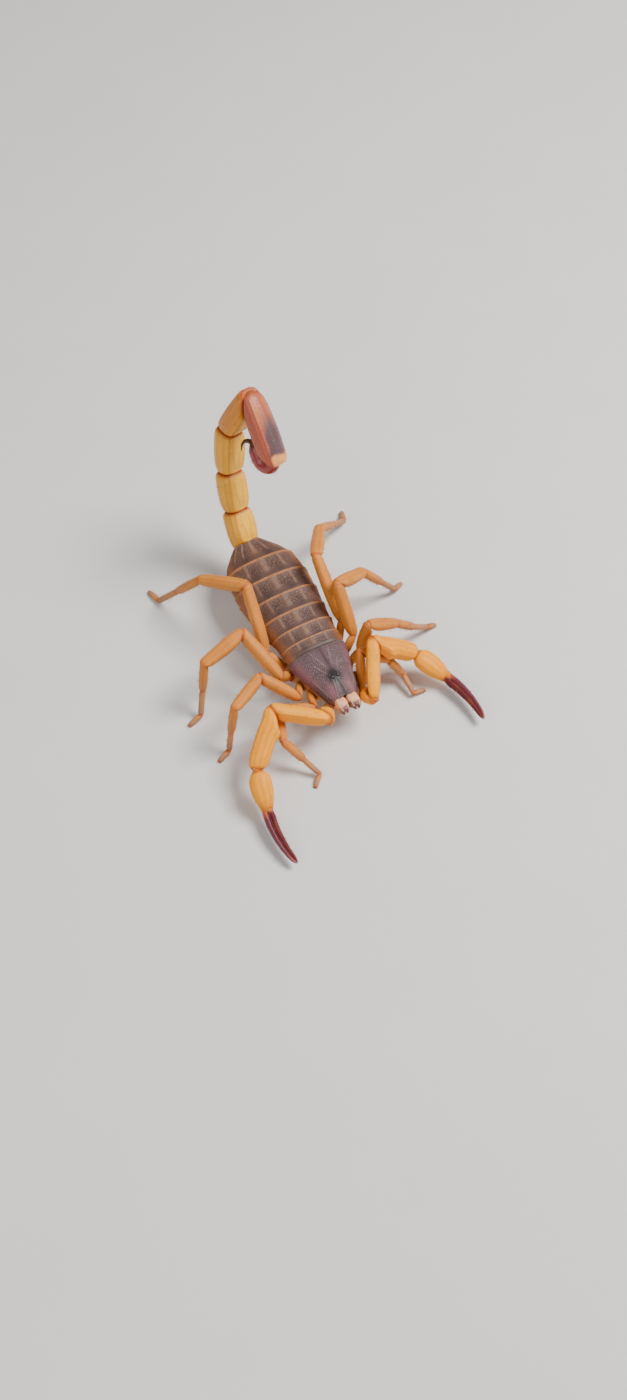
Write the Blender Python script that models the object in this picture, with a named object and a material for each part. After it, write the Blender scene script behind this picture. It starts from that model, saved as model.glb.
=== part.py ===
# Slender-armed scorpion, adult female, life size: standing, pincers forward, tail arched over its back.
# Blender 4.5. Sizes are in millimetres and become metres as each mesh is made.
# The head looks toward -Y, the animal's left side is +X, +Z is up and the feet stand at z = 0.
# A heading is an angle in degrees from straight ahead toward the animal's left.
import math

import bpy
import numpy as np
from mathutils import Matrix

MM = 0.001
GAP = 0.3                       # clearance between neighbouring pieces
UP = np.array((0.0, 0.0, 1.0))
BACK = np.array((0.0, 1.0, 0.0))

# Head shield: (distance behind its front edge, half width, height of its crown)
SHIELD_RIM = 5.7
SHIELD_STATIONS = (
    (0.0, 1.75, 6.9), (0.7, 2.25, 7.25), (1.6, 2.6, 7.55), (3.2, 3.0, 7.95),
    (4.6, 3.45, 7.8), (6.4, 4.0, 7.95), (7.7, 4.3, 8.0), (8.35, 4.35, 7.85),
)
SHIELD_NOTCH = 0.35
EYE_RADIUS = 0.27
EYE_CENTRE = (0.42, 3.1, 7.88)
EYE_CLEARANCE = 0.1

# Under the shield: the breast plate and the coxae that the limbs grow from
COXA_ENDS = ((3.4, 3.9, 4.6), (4.0, 5.9, 4.5), (4.4, 7.9, 4.4), (4.4, 9.8, 4.4))
COXA_ROOTS = ((0.9, 2.6, 4.1), (1.0, 4.2, 4.0), (1.1, 5.6, 3.95), (1.25, 6.95, 3.85))
COXA_RADIUS = 0.78
BREAST_TOP = 5.2
# breast plate: (distance behind the shield's front edge, half width, height of its underside)
BREAST_STATIONS = ((0.9, 1.2, 3.5), (2.2, 1.8, 3.0), (5.0, 2.4, 2.8), (7.6, 2.7, 2.9), (9.6, 2.2, 3.2))
PALP_COXA_END = (2.8, 0.2, 5.0)
PALP_COXA_ROOT = (1.1, 1.9, 4.2)

# Trunk rings: (rear edge, half width above, half width below, top, bottom), the first from TRUNK_FRONT
TRUNK_FRONT = 8.55
TRUNK_RINGS = (
    (10.3, 4.45, 4.1, 7.95, 5.5),
    (12.6, 4.7, 4.2, 8.05, 3.0),
    (15.4, 5.05, 4.95, 8.15, 2.4),
    (18.6, 5.5, 5.4, 8.25, 2.3),
    (22.1, 5.7, 5.6, 8.3, 2.3),
    (25.7, 5.35, 5.2, 8.25, 2.4),
)
TRUNK_FRONT_RING = (4.35, 4.0, 7.9, 5.5)
TRUNK_SIDE_LINE = 5.9

# Tail: an arch in one plane, turned by a yaw and leaned to the animal's left
TAIL_BASE = (0.0, 30.0, 6.5)
TAIL_YAW = 15.0
TAIL_LEAN = 13.0
TAIL_PITCHES = (56.0, 66.0, 80.0, 113.0, 227.0)
TAIL_LENGTHS = (5.6, 6.1, 6.9, 7.7, 8.9)
TAIL_WIDTHS = (4.4, 4.25, 4.2, 4.05, 3.85)
TAIL_HEIGHTS = (3.7, 3.7, 3.7, 3.7, 3.3)
LAST_SEGMENT_BOW = 0.2          # the last segment is bowed toward its lower side

# Bulb and sting: a line in the plane of the arch that starts at the tail's end. Its angle is measured
# from the last segment's heading toward its dorsal side, so that 180 points back along the segment.
BULB_ROOT_ANGLE = 40.0
BULB_ROOT_RADIUS = 0.75
BULB_FOLD = (180.0, 3.6, 1.2)   # angle reached, length of the arc, radius of the bulb at its end
BULB_BODY = (180.0, 1.0, 1.2)
BULB_TAPER = (130.0, 1.5, 0.36)
BULB_BREADTH = 1.08             # width over height
STING_LENGTH = 3.4
STING_TURN = (130.0, 20.0)
STING_RADII = (0.42, 0.1)

# Walking legs, front to rear: lengths of trochanter, femur, patella, tibia, basitarsus, telotarsus
LEG_LENGTHS = (
    (2.2, 5.0, 4.8, 3.9, 3.1, 2.0),
    (2.4, 6.4, 6.1, 4.7, 3.8, 2.1),
    (2.6, 8.0, 6.8, 5.1, 4.1, 2.2),
    (3.1, 9.8, 8.1, 6.1, 4.8, 2.6),
)
# widths and heights of femur, patella, tibia and tarsus of each pair
LEG_WIDTHS = ((1.4, 1.4, 1.2, 0.8), (1.65, 1.75, 1.15, 0.85), (1.9, 2.05, 1.2, 0.9), (1.75, 2.0, 1.15, 0.9))
LEG_HEIGHTS = ((1.6, 1.5, 1.1, 0.8), (1.75, 1.7, 1.15, 0.85), (2.0, 1.8, 1.2, 0.9), (1.9, 1.8, 1.2, 0.9))
TROCHANTER_WIDTH = 1.15
TROCHANTER_HEIGHT = 1.7
# stance: the heading of each of the six lengths, and the height of each one's far end
STANCE = {
    "right_1": ((-17, -106, -18, 37, 32, -45), (4.8, 5.3, 5.1, 2.5, 0.7, 0.2)),
    "right_2": ((-33, -127, -61, -67, -59, -69), (5.2, 8.8, 9.0, 4.4, 0.7, 0.2)),
    "right_3": ((-76, -158, -77, -56, -41, -75), (6.3, 10.3, 9.3, 4.3, 0.7, 0.2)),
    "right_4": ((-146, 173, -145, -140, -135, -167), (5.8, 11.9, 8.9, 4.2, 0.6, 0.2)),
    "left_1": ((4, 156, 66, 58, 3, 90), (4.3, 7.8, 5.3, 2.0, 0.9, 0.2)),
    "left_2": ((118, 60, 98, 94, 102, 102), (4.6, 10.9, 7.3, 3.9, 1.3, 0.2)),
    "left_3": ((127, 180, 113, 87, 90, 119), (5.3, 11.8, 8.5, 4.4, 1.1, 0.2)),
    "left_4": ((146, 178, 148, 126, 122, 160), (5.7, 11.4, 8.3, 4.1, 1.1, 0.2)),
}

# Pincer arms: lengths of trochanter, femur, patella, palm and fingers
PALP_LENGTHS = (2.4, 7.5, 8.2, 5.7, 8.4)
PALP_STANCE = {
    "right": ((-31, -119, -44, -14, 2), (6.3, 8.1, 4.9, 2.2, 1.4)),
    "left": ((21, 152, 77, 35, 6), (6.5, 9.4, 4.3, 1.9, 1.7)),
}
PALP_TROCHANTER = (2.3, 2.1)    # width, height
PALP_FEMUR = (1.9, 2.3)
PALP_PATELLA = (2.9, 2.3)
PALM = (3.1, 2.5)
FINGER_BOW = 0.5                # how far the closed fingers bow outward
FINGER_INSET = 0.25             # how far their root is set toward the inner side of the palm
FINGER_WIDTH = 0.62             # of one finger at its root
FINGER_HEIGHT = 1.15

# Combs under the trunk, and the jaws
COMB_INNER = (0.7, 9.6, 2.25)
COMB_OUTER = (4.4, 12.3, 2.35)
COMB_DEPTH = 1.5
COMB_THICKNESS = 0.6
JAW_CENTRE = 0.9
JAW_WIDTH = 1.5
JAW_FRONT = -2.0

# Profiles along a piece: (place along it, share of its thickness, share of its height)
TROCHANTER = ((0.0, 0.7, 0.6), (0.25, 0.95, 0.8), (0.7, 1.0, 0.85), (1.0, 0.85, 0.68))
FEMUR = ((0.14, 0.9, 0.82), (0.45, 1.0, 1.0), (0.8, 0.94, 0.92), (0.95, 0.86, 0.82), (1.0, 0.74, 0.68))
PATELLA = ((0.0, 0.7, 0.66), (0.07, 0.86, 0.84), (0.35, 1.0, 1.0), (0.7, 0.92, 0.9), (0.94, 0.8, 0.78),
           (1.0, 0.68, 0.66))
TIBIA = ((0.0, 0.84, 0.8), (0.08, 0.98, 0.96), (0.5, 1.0, 1.0), (0.92, 0.94, 0.92), (1.0, 0.8, 0.78))
BASITARSUS = ((0.1, 0.95, 0.95), (0.5, 0.95, 0.95), (1.0, 0.85, 0.85))
TELOTARSUS = ((0.2, 0.9, 0.9), (0.5, 0.85, 0.85), (0.8, 0.8, 0.8), (1.0, 0.62, 0.5))
PALP_TROCHANTER_SHAPE = ((0.0, 0.6, 0.64), (0.3, 0.92, 0.92), (0.75, 1.0, 1.0), (1.0, 0.78, 0.8))
PALP_FEMUR_SHAPE = ((0.0, 0.62, 0.66), (0.1, 0.85, 0.9), (0.35, 1.0, 1.0), (0.8, 1.0, 1.0),
                    (0.95, 0.92, 0.92), (1.0, 0.78, 0.8))
TAIL_SHAPE = ((0.0, 0.76, 0.76), (0.07, 0.86, 0.86), (0.28, 0.98, 0.97), (0.6, 1.0, 1.0), (0.88, 0.97, 0.98),
              (0.96, 0.88, 0.88), (1.0, 0.74, 0.74))

COLOURS = {
    "shell_dark": ((0.17, 0.13, 0.13), 0.5),
    "shell_trunk": ((0.30, 0.19, 0.13), 0.5),
    "shell_pale": ((0.62, 0.40, 0.20), 0.5),
    "limb": ((0.72, 0.39, 0.15), 0.42),
    "arm": ((0.80, 0.43, 0.09), 0.4),
    "finger": ((0.13, 0.04, 0.05), 0.4),
    "tail": ((0.80, 0.47, 0.12), 0.42),
    "tail_end": ((0.33, 0.12, 0.07), 0.4),
    "bulb": ((0.26, 0.07, 0.05), 0.3),
    "sting": ((0.012, 0.009, 0.008), 0.25),
    "jaw": ((0.72, 0.58, 0.42), 0.45),
    "comb": ((0.82, 0.66, 0.46), 0.55),
    "eye": ((0.006, 0.006, 0.007), 0.08),
}


def clear_scene():
    for item in list(bpy.data.objects):
        bpy.data.objects.remove(item)


def unit(vector):
    return vector / np.linalg.norm(vector)


def joints(start, lengths, headings, heights):
    """The joint points of a limb, each span given by its length, heading and far end's height."""
    points = [np.array(start, dtype=float)]
    for length, heading, height in zip(lengths, headings, heights):
        climb = height - points[-1][2]
        reach = math.sqrt(length ** 2 - climb ** 2)
        turn = math.radians(heading)
        points.append(points[-1] + (reach * math.sin(turn), -reach * math.cos(turn), climb))
    return points


def tail_axes():
    """Unit vectors of the arch: rearward, upward and across."""
    yaw, lean = math.radians(TAIL_YAW), math.radians(TAIL_LEAN)
    rearward = np.array((-math.sin(yaw), math.cos(yaw), 0.0))
    level = np.array((math.cos(yaw), math.sin(yaw), 0.0))
    upward = math.cos(lean) * UP + math.sin(lean) * level
    return rearward, upward, np.cross(rearward, upward)


def in_arch(pitch):
    """The direction of a pitch in the plane of the arch, and the dorsal direction beside it."""
    rearward, upward, _ = tail_axes()
    angle = math.radians(pitch)
    along = math.cos(angle) * rearward + math.sin(angle) * upward
    dorsal = -math.sin(angle) * rearward + math.cos(angle) * upward
    return along, dorsal


def oval(half_width, half_height, sides, power):
    """Points round a superellipse: round at power 2, boxier above it."""
    angles = np.arange(sides) * 2.0 * math.pi / sides
    across, rise = np.cos(angles), np.sin(angles)
    return np.column_stack((
        half_width * np.sign(across) * np.abs(across) ** (2.0 / power),
        half_height * np.sign(rise) * np.abs(rise) ** (2.0 / power),
    ))


def limb_rings(points, spans, dorsal=UP, before=None, after=None, sides=8, power=2.3, sole=False):
    """Rings round a jointed line. At a joint they lie in the plane halfway between the two spans,
    half the gap short of it where the neighbour is another piece.
    A station is (place along the span, half width, half height, shift to the left, shift up)."""
    headings = [unit(b - a) for a, b in zip(points, points[1:])]
    rings = []
    for index, (stations, along) in enumerate(zip(spans, headings)):
        start, end = points[index], points[index + 1]
        length = np.linalg.norm(end - start)
        left = unit(np.cross(dorsal, along))
        upper = np.cross(along, left)
        previous = headings[index - 1] if index else before
        following = headings[index + 1] if index + 1 < len(headings) else after
        near = along if previous is None else unit(previous + along)
        far = along if following is None else unit(along + following)
        near_gap = GAP / 2 if index == 0 and before is not None else 0.0
        far_gap = GAP / 2 if index + 1 == len(headings) and after is not None else 0.0
        for station in stations:
            place, half_width, half_height = station[:3]
            shift = station[3:] if len(station) > 3 else (0.0, 0.0)
            section = oval(half_width, half_height, sides, power) + shift
            offset = section[:, :1] * left + section[:, 1:] * upper
            bulge = 0.5 * half_height
            first = (near_gap - offset @ near) / (along @ near)
            last = length - (far_gap + offset @ far) / (along @ far)
            first = np.maximum(first, -bulge)
            last = np.minimum(last, length + bulge)
            ring = start + offset + np.outer(first * (1 - place) + last * place, along)
            if sole and index + 1 == len(headings) and place >= 0.8:
                ring[section[:, 1] < -0.3 * half_height, 2] = 0.0
            ring[:, 2] = np.maximum(ring[:, 2], 0.0)
            rings.append(ring)
    return rings


def axes_at(point, along, dorsal=UP):
    """A placement with its origin at the point, Y along the piece and Z on its dorsal side."""
    left = unit(np.cross(dorsal, along))
    upper = np.cross(along, left)
    frame = np.eye(4)
    frame[:3, 0], frame[:3, 1], frame[:3, 2] = -left, along, upper
    frame[:3, 3] = np.asarray(point) * MM
    return Matrix(frame.tolist())


def skin(name):
    """The material of that name, made once."""
    made = bpy.data.materials.get(name)
    if made:
        return made
    colour, roughness = COLOURS[name]
    made = bpy.data.materials.new(name)
    made.use_nodes = True
    shader = made.node_tree.nodes["Principled BSDF"]
    shader.inputs["Base Color"].default_value = (*colour, 1.0)
    shader.inputs["Roughness"].default_value = roughness
    shader.inputs["Metallic"].default_value = 0.0
    made.diffuse_color = (*colour, 1.0)
    return made


def loft(name, material, rings, placement, parent, guide=False):
    """One closed body through the rings, closed at both ends by a fan about the end ring's middle."""
    sides = len(rings[0])
    points = np.vstack(rings + [rings[0].mean(axis=0), rings[-1].mean(axis=0)]) * MM
    faces = []
    for row in range(len(rings) - 1):
        for side in range(sides):
            a, b = row * sides + side, row * sides + (side + 1) % sides
            faces.append((a, b, b + sides, a + sides))
    first, last, final_row = len(points) - 2, len(points) - 1, (len(rings) - 1) * sides
    for side in range(sides):
        step = (side + 1) % sides
        faces.append((first, step, side))
        faces.append((last, final_row + side, final_row + step))
    inverse = np.array(placement.inverted())
    local = points @ inverse[:3, :3].T + inverse[:3, 3]
    if volume(local, faces) < 0:
        faces = [face[::-1] for face in faces]
    mesh = bpy.data.meshes.new(name)
    mesh.from_pydata([tuple(point) for point in local], [], faces)
    mesh.materials.append(skin(material))
    mesh.shade_smooth()
    mesh.set_sharp_from_angle(angle=math.radians(50))
    made = bpy.data.objects.new(name, mesh)
    bpy.context.scene.collection.objects.link(made)
    made.matrix_world = placement
    made.parent = parent
    if guide:
        made.hide_render = True
        made.display_type = "WIRE"
    return made


def volume(points, faces):
    """Signed volume of a closed mesh, positive where its faces point out."""
    total = 0.0
    for face in faces:
        for second, third in zip(face[1:], face[2:]):
            total += np.dot(points[face[0]], np.cross(points[second], points[third]))
    return total / 6.0


def combine(target, tool, operation):
    step = target.modifiers.new(tool.name, "BOOLEAN")
    step.object = tool
    step.operation = operation


def scaled(shape, width, height, shift=None):
    """A profile's shares turned into half widths and half heights; shift is (across, up) per place."""
    stations = []
    for place, across, rise in shape:
        offset = shift(place) if shift else (0.0, 0.0)
        stations.append((place, across * width / 2, rise * height / 2, *offset))
    return stations


def head_shield(parent):
    """The carapace: a vault over the head, notched in front, with sockets for the median eyes."""
    rings = []
    for place, half_width, crown in SHIELD_STATIONS:
        angles = np.linspace(0.0, math.pi, 11)
        across = half_width * np.cos(angles)
        rise = (crown - SHIELD_RIM) * np.sin(angles) ** 0.6
        ahead = np.abs(across) / half_width
        notch = SHIELD_NOTCH * (1.0 - ahead) ** 2 if place == 0.0 else np.zeros_like(across)
        ring = np.column_stack((across, place + notch, SHIELD_RIM + rise))
        rings.append(ring)
    shield = loft("carapace", "shell_dark", rings, axes_at((0, 0, SHIELD_RIM), BACK), parent)
    for side, sign in (("left", 1), ("right", -1)):
        centre = np.array((sign * EYE_CENTRE[0], EYE_CENTRE[1], EYE_CENTRE[2]))
        socket = ball("socket_" + side, "eye", centre, EYE_RADIUS + EYE_CLEARANCE, parent, guide=True)
        combine(shield, socket, "DIFFERENCE")
        ball("median_eye_" + side, "eye", centre, EYE_RADIUS, parent)


def ball(name, material, centre, radius, parent, guide=False):
    rings = []
    for angle in np.linspace(0.0, math.pi, 7)[1:-1]:
        turn = np.arange(10) * 2 * math.pi / 10
        rings.append(np.column_stack((
            radius * math.sin(angle) * np.cos(turn),
            radius * math.sin(angle) * np.sin(turn),
            np.full(10, -radius * math.cos(angle)),
        )) + centre)
    return loft(name, material, rings, axes_at(centre, BACK), parent, guide)


def head_underside(parent):
    """The breast plate with the coxae of all five limb pairs, joined into one piece."""
    rings = []
    for place, half_width, low in BREAST_STATIONS:
        middle = (BREAST_TOP + low) / 2
        section = oval(half_width, middle - low, 10, 2.8)
        rings.append(np.column_stack((section[:, 0], np.full(10, place), middle + section[:, 1])))
    plate = loft("coxosternum", "shell_pale", rings, axes_at((0, 5, 4), BACK), parent)
    for pair, (root, end) in enumerate(zip(COXA_ROOTS, COXA_ENDS), start=1):
        combine(plate, coxae(str(pair), root, end, COXA_RADIUS, parent), "UNION")
    combine(plate, coxae("palp", PALP_COXA_ROOT, PALP_COXA_END, COXA_RADIUS, parent), "UNION")


def coxae(tag, root, end, radius, parent):
    """A left and a right coxa in one body: their inner ends meet at the midline."""
    rings = []
    for side, sign in (("right", -1), ("left", 1)):
        mirror = np.array((sign, 1, 1))
        points = palp_joints(side) if tag == "palp" else leg_joints(side, int(tag))
        stations = [(0.0, radius, radius), (0.85, radius, radius * 0.95), (1.0, radius * 0.8, radius * 0.78)]
        inner = np.array((sign * 0.3, root[1], root[2]))
        tube = limb_rings([inner, np.array(end) * mirror], [stations], after=unit(points[1] - points[0]))
        if side == "right":
            tube = [np.roll(ring[::-1], 1 - len(ring) // 2, axis=0) for ring in reversed(tube)]
        rings.extend(tube)
    return loft("coxae_" + tag, "shell_pale", rings, axes_at(root, BACK), parent, guide=True)


def leg_joints(side, pair):
    sign = 1 if side == "left" else -1
    start = np.array(COXA_ENDS[pair - 1]) * (sign, 1, 1)
    return joints(start, LEG_LENGTHS[pair - 1], *STANCE[f"{side}_{pair}"])


def palp_joints(side):
    sign = 1 if side == "left" else -1
    start = np.array(PALP_COXA_END) * (sign, 1, 1)
    return joints(start, PALP_LENGTHS, *PALP_STANCE[side])


def piece(name, material, points, spans, parent, dorsal=UP, **options):
    rings = limb_rings(points, spans, dorsal=dorsal, **options)
    return loft(name, material, rings, axes_at(points[0], unit(points[1] - points[0]), dorsal), parent)


def leg(side, pair, parent):
    """One walking leg: femur with its trochanter, patella, and shank from tibia to claws."""
    femur, patella, tibia, tarsus = zip(LEG_WIDTHS[pair - 1], LEG_HEIGHTS[pair - 1])
    points = leg_joints(side, pair)
    aim = [unit(b - a) for a, b in zip(points, points[1:])]
    sign = 1 if side == "left" else -1
    coxa_aim = unit((np.array(COXA_ENDS[pair - 1]) - COXA_ROOTS[pair - 1]) * (sign, 1, 1))

    tag = f"leg_{side}_{pair}_"
    thigh = [scaled(TROCHANTER, TROCHANTER_WIDTH, TROCHANTER_HEIGHT), scaled(FEMUR, *femur)]
    shank = [scaled(TIBIA, *tibia), scaled(BASITARSUS, *tarsus), scaled(TELOTARSUS, *tarsus)]
    piece(tag + "femur", "limb", points[0:3], thigh, parent, before=coxa_aim, after=aim[2])
    piece(tag + "patella", "limb", points[2:4], [scaled(PATELLA, *patella)], parent, before=aim[1], after=aim[3])
    piece(tag + "shank", "limb", points[3:7], shank, parent, before=aim[2], sole=True)


def pincer_arm(side, parent):
    """Trochanter, femur, patella, palm with the fixed finger, and the free finger on the outer side."""
    sign = 1 if side == "left" else -1
    points = palp_joints(side)
    aim = [unit(b - a) for a, b in zip(points, points[1:])]
    coxa_aim = unit((np.array(PALP_COXA_END) - PALP_COXA_ROOT) * (sign, 1, 1))
    tag = "pedipalp_" + side + "_"
    piece(tag + "trochanter", "arm", points[0:2], [scaled(PALP_TROCHANTER_SHAPE, *PALP_TROCHANTER)], parent,
          before=coxa_aim, after=aim[1], sides=10)
    piece(tag + "femur", "arm", points[1:3], [scaled(PALP_FEMUR_SHAPE, *PALP_FEMUR)], parent,
          before=aim[0], after=aim[2], sides=10, power=2.8)
    inner = ((0.0, 0.6, 0.72, 0.0), (0.08, 0.78, 0.86, 0.02), (0.2, 1.0, 0.95, 0.14), (0.4, 0.95, 1.0, 0.04),
             (0.75, 0.95, 1.0, 0.0), (0.94, 0.8, 0.86, 0.0), (1.0, 0.5, 0.6, 0.0))
    stations = [(t, w * PALP_PATELLA[0] / 2, h * PALP_PATELLA[1] / 2, -sign * shift * PALP_PATELLA[0], 0.0)
                for t, w, h, shift in inner]
    piece(tag + "patella", "arm", points[2:4], [stations], parent, before=aim[1], after=aim[3], sides=10,
          power=2.6)
    palm = ((0.0, 0.48, 0.52, 0.0), (0.1, 0.7, 0.7, 0.01), (0.22, 0.95, 0.9, 0.03), (0.42, 1.0, 1.0, 0.03),
            (0.65, 0.88, 0.92, 0.05), (0.85, 0.66, 0.74, 0.07), (0.97, 0.54, 0.6, 0.08))
    stations = [(t, w * PALM[0] / 2, h * PALM[1] / 2, -sign * shift * PALM[0], 0.0) for t, w, h, shift in palm]
    piece(tag + "hand", "arm", points[3:6], [stations, finger(-sign, sign, 0.05)], parent,
          before=aim[2], sides=10)
    free = finger(sign, sign, 0.09)
    piece(tag + "free_finger", "finger", points[4:6], [free], parent, sides=8)


def finger(side, outward, root):
    """One finger of the closed pair: a tapering half, bowed outward, on its own side of the slit."""
    stations = []
    for place in (root, root + 0.1, 0.35, 0.55, 0.75, 0.92, 1.0):
        taper = 1.0 - 0.72 * place ** 1.6
        half_width = FINGER_WIDTH / 2 * taper + 0.06
        bow = FINGER_BOW * 4 * place * (1 - place)
        shift = outward * (bow - FINGER_INSET * (1 - place)) + side * (GAP / 2 + half_width)
        stations.append((place, half_width, FINGER_HEIGHT / 2 * taper + 0.04, shift, 0.0))
    return stations


def trunk(parent):
    """The seven trunk rings; the last narrows to the tail."""
    start = TRUNK_FRONT
    ahead = TRUNK_FRONT_RING
    for number, (rear, *size) in enumerate(TRUNK_RINGS, start=1):
        rings = []
        first, last = start + GAP / 2, rear - GAP / 2
        for share, swell in ((0.0, 0.955), (0.12, 0.985), (0.45, 1.0), (0.86, 1.0), (1.0, 0.975)):
            above, below, top, bottom = (a + (b - a) * share for a, b in zip(ahead, size))
            if number == 2:
                bottom, below = size[3], below - 0.25 * (1 - share)
            side_line = max(TRUNK_SIDE_LINE - 0.25 * (number - 1), 5.2)
            if number == 1:
                side_line = 6.1
            section = oval(1.0, 1.0, 16, 2.7)
            width = np.where(section[:, 1] > -0.05, above, below) * swell
            height = np.where(section[:, 1] > 0, top - side_line, side_line - bottom) * swell
            place = first + (last - first) * share
            level = side_line + section[:, 1] * height
            rings.append(np.column_stack((section[:, 0] * width, np.full(16, place), level)))
        loft(f"mesosoma_{number}", "shell_trunk", rings, axes_at((0, start, 5), BACK), parent)
        start, ahead = rear, size
    # half width, half height and rise of the section above the tail's axis, along the last ring
    stations = [(0.035, 5.05, 2.75, 0.0, -1.15), (0.12, 5.1, 2.8, 0.0, -1.15), (0.4, 4.55, 2.6, 0.0, -1.0),
                (0.7, 3.45, 2.15, 0.0, -0.55), (0.9, 2.45, 1.7, 0.0, -0.15), (1.0, 1.8, 1.45, 0.0, 0.0)]
    base = np.array(TAIL_BASE)
    points = [np.array((0.0, TRUNK_RINGS[-1][0], base[2])), base]
    piece("mesosoma_7", "shell_trunk", points, [stations], parent, after=in_arch(TAIL_PITCHES[0])[0],
          sides=16, power=2.7)


def combs(parent):
    """The pectines: a flat blade on each side, from the midline outward and back."""
    for side, sign in (("left", 1), ("right", -1)):
        mirror = np.array((sign, 1, 1))
        points = [np.array(COMB_INNER) * mirror, np.array(COMB_OUTER) * mirror]
        stations = [(0.0, 0.35 * COMB_DEPTH, COMB_THICKNESS / 2), (0.15, 0.5 * COMB_DEPTH, COMB_THICKNESS / 2),
                    (0.7, 0.45 * COMB_DEPTH, COMB_THICKNESS / 2), (1.0, 0.2 * COMB_DEPTH, COMB_THICKNESS / 2)]
        piece("pectine_" + side, "comb", points, [stations], parent, sides=8, power=4.0)


def jaws(parent):
    """The chelicerae: two short blocks side by side that stick out under the front of the shield."""
    for side, sign in (("left", 1), ("right", -1)):
        points = [np.array((sign * JAW_CENTRE, -GAP, 6.1)), np.array((sign * JAW_CENTRE, JAW_FRONT, 5.75))]
        stations = [(0.0, JAW_WIDTH / 2, 0.72), (0.3, JAW_WIDTH / 2, 0.85), (0.62, JAW_WIDTH * 0.45, 0.75),
                    (0.85, JAW_WIDTH * 0.32, 0.55, -sign * 0.08, -0.1), (1.0, 0.2, 0.28, -sign * 0.2, -0.2)]
        piece("chelicera_" + side, "jaw", points, [stations], parent, sides=10, power=2.8)


def tail(parent):
    """Five tail segments in one arch, then the bulb folded back under the last one, and the sting."""
    aims = [in_arch(pitch)[0] for pitch in TAIL_PITCHES]
    aims.append(in_arch(TAIL_PITCHES[4] + 2 * BULB_ROOT_ANGLE)[0])
    points = [np.array(TAIL_BASE)]
    for length, aim in zip(TAIL_LENGTHS, aims):
        points.append(points[-1] + length * aim)
    for number in range(5):
        dorsal = in_arch(TAIL_PITCHES[number])[1]
        bow = LAST_SEGMENT_BOW if number == 4 else 0.0
        stations = scaled(TAIL_SHAPE, TAIL_WIDTHS[number], TAIL_HEIGHTS[number],
                          lambda place, bow=bow: (0.0, -4 * bow * place * (1 - place)))
        before = aims[number - 1] if number else BACK
        piece(f"metasoma_{number + 1}", "tail" if number < 4 else "tail_end", points[number:number + 2],
              [stations], parent, dorsal=dorsal, before=before, after=aims[number + 1], sides=12, power=2.7)
    bulb_and_sting(points[5], parent)


def bulb_and_sting(tail_end, parent):
    """The bulb swells along its fold and narrows to the sting, a hook that bends away from the tail."""
    angle, radius = BULB_ROOT_ANGLE, BULB_ROOT_RADIUS
    centre = tail_end + GAP * fold_axes(angle)[0]
    rings = [fold_ring(centre, angle, radius, 12)]
    for (next_angle, length, next_radius), steps in ((BULB_FOLD, 7), (BULB_BODY, 2), (BULB_TAPER, 4)):
        for step in range(1, steps + 1):
            share = step / steps
            middle = angle + (next_angle - angle) * (share - 0.5 / steps)
            centre = centre + length / steps * fold_axes(middle)[0]
            swell = radius + (next_radius - radius) * math.sin(share * math.pi / 2)
            if next_radius < radius:
                swell = next_radius + (radius - next_radius) * math.cos(share * math.pi / 2) ** 0.8
            rings.append(fold_ring(centre, angle + (next_angle - angle) * share, swell, 12))
        angle, radius = next_angle, next_radius
    along, dorsal = fold_axes(BULB_BODY[0])
    loft("telson", "bulb", rings, axes_at(tail_end, along, dorsal), parent)

    root = centre + GAP * fold_axes(angle)[0]
    centre, rings, steps = root, [], 9
    first, last = STING_TURN
    for step in range(steps + 1):
        share = step / steps
        angle = first + (last - first) * share
        if step:
            middle = first + (last - first) * (share - 0.5 / steps)
            centre = centre + STING_LENGTH / steps * fold_axes(middle)[0]
        thickness = STING_RADII[1] + (STING_RADII[0] - STING_RADII[1]) * (1 - share) ** 0.9
        rings.append(fold_ring(centre, angle, thickness, 8))
    loft("aculeus", "sting", rings, axes_at(root, *fold_axes(first)), parent)


def fold_axes(angle):
    """Heading and dorsal direction at an angle of the fold at the tail's end."""
    return in_arch(TAIL_PITCHES[4] + angle)


def fold_ring(centre, angle, radius, sides):
    across = tail_axes()[2]
    upper = fold_axes(angle)[1]
    section = oval(radius * BULB_BREADTH, radius, sides, 2.1)
    return centre + section[:, :1] * across + section[:, 1:] * upper


def centre_on_floor(parent):
    """Moves everything so that the middle of the box round the animal is over the origin."""
    bpy.context.view_layer.update()
    corners = []
    for item in bpy.data.objects:
        if item.type == "MESH" and not item.hide_render:
            matrix = np.array(item.matrix_world)
            points = np.array([vertex.co[:] for vertex in item.data.vertices])
            corners.append(points @ matrix[:3, :3].T + matrix[:3, 3])
    points = np.vstack(corners)
    low, high = points.min(axis=0), points.max(axis=0)
    parent.location = (-(low[0] + high[0]) / 2, -(low[1] + high[1]) / 2, 0.0)


def main():
    clear_scene()
    body = bpy.data.objects.new("scorpion", None)
    bpy.context.scene.collection.objects.link(body)
    head_shield(body)
    head_underside(body)
    jaws(body)
    trunk(body)
    combs(body)
    tail(body)
    for side in ("left", "right"):
        pincer_arm(side, body)
        for pair in (1, 2, 3, 4):
            leg(side, pair, body)
    centre_on_floor(body)


main()
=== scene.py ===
import math

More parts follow.
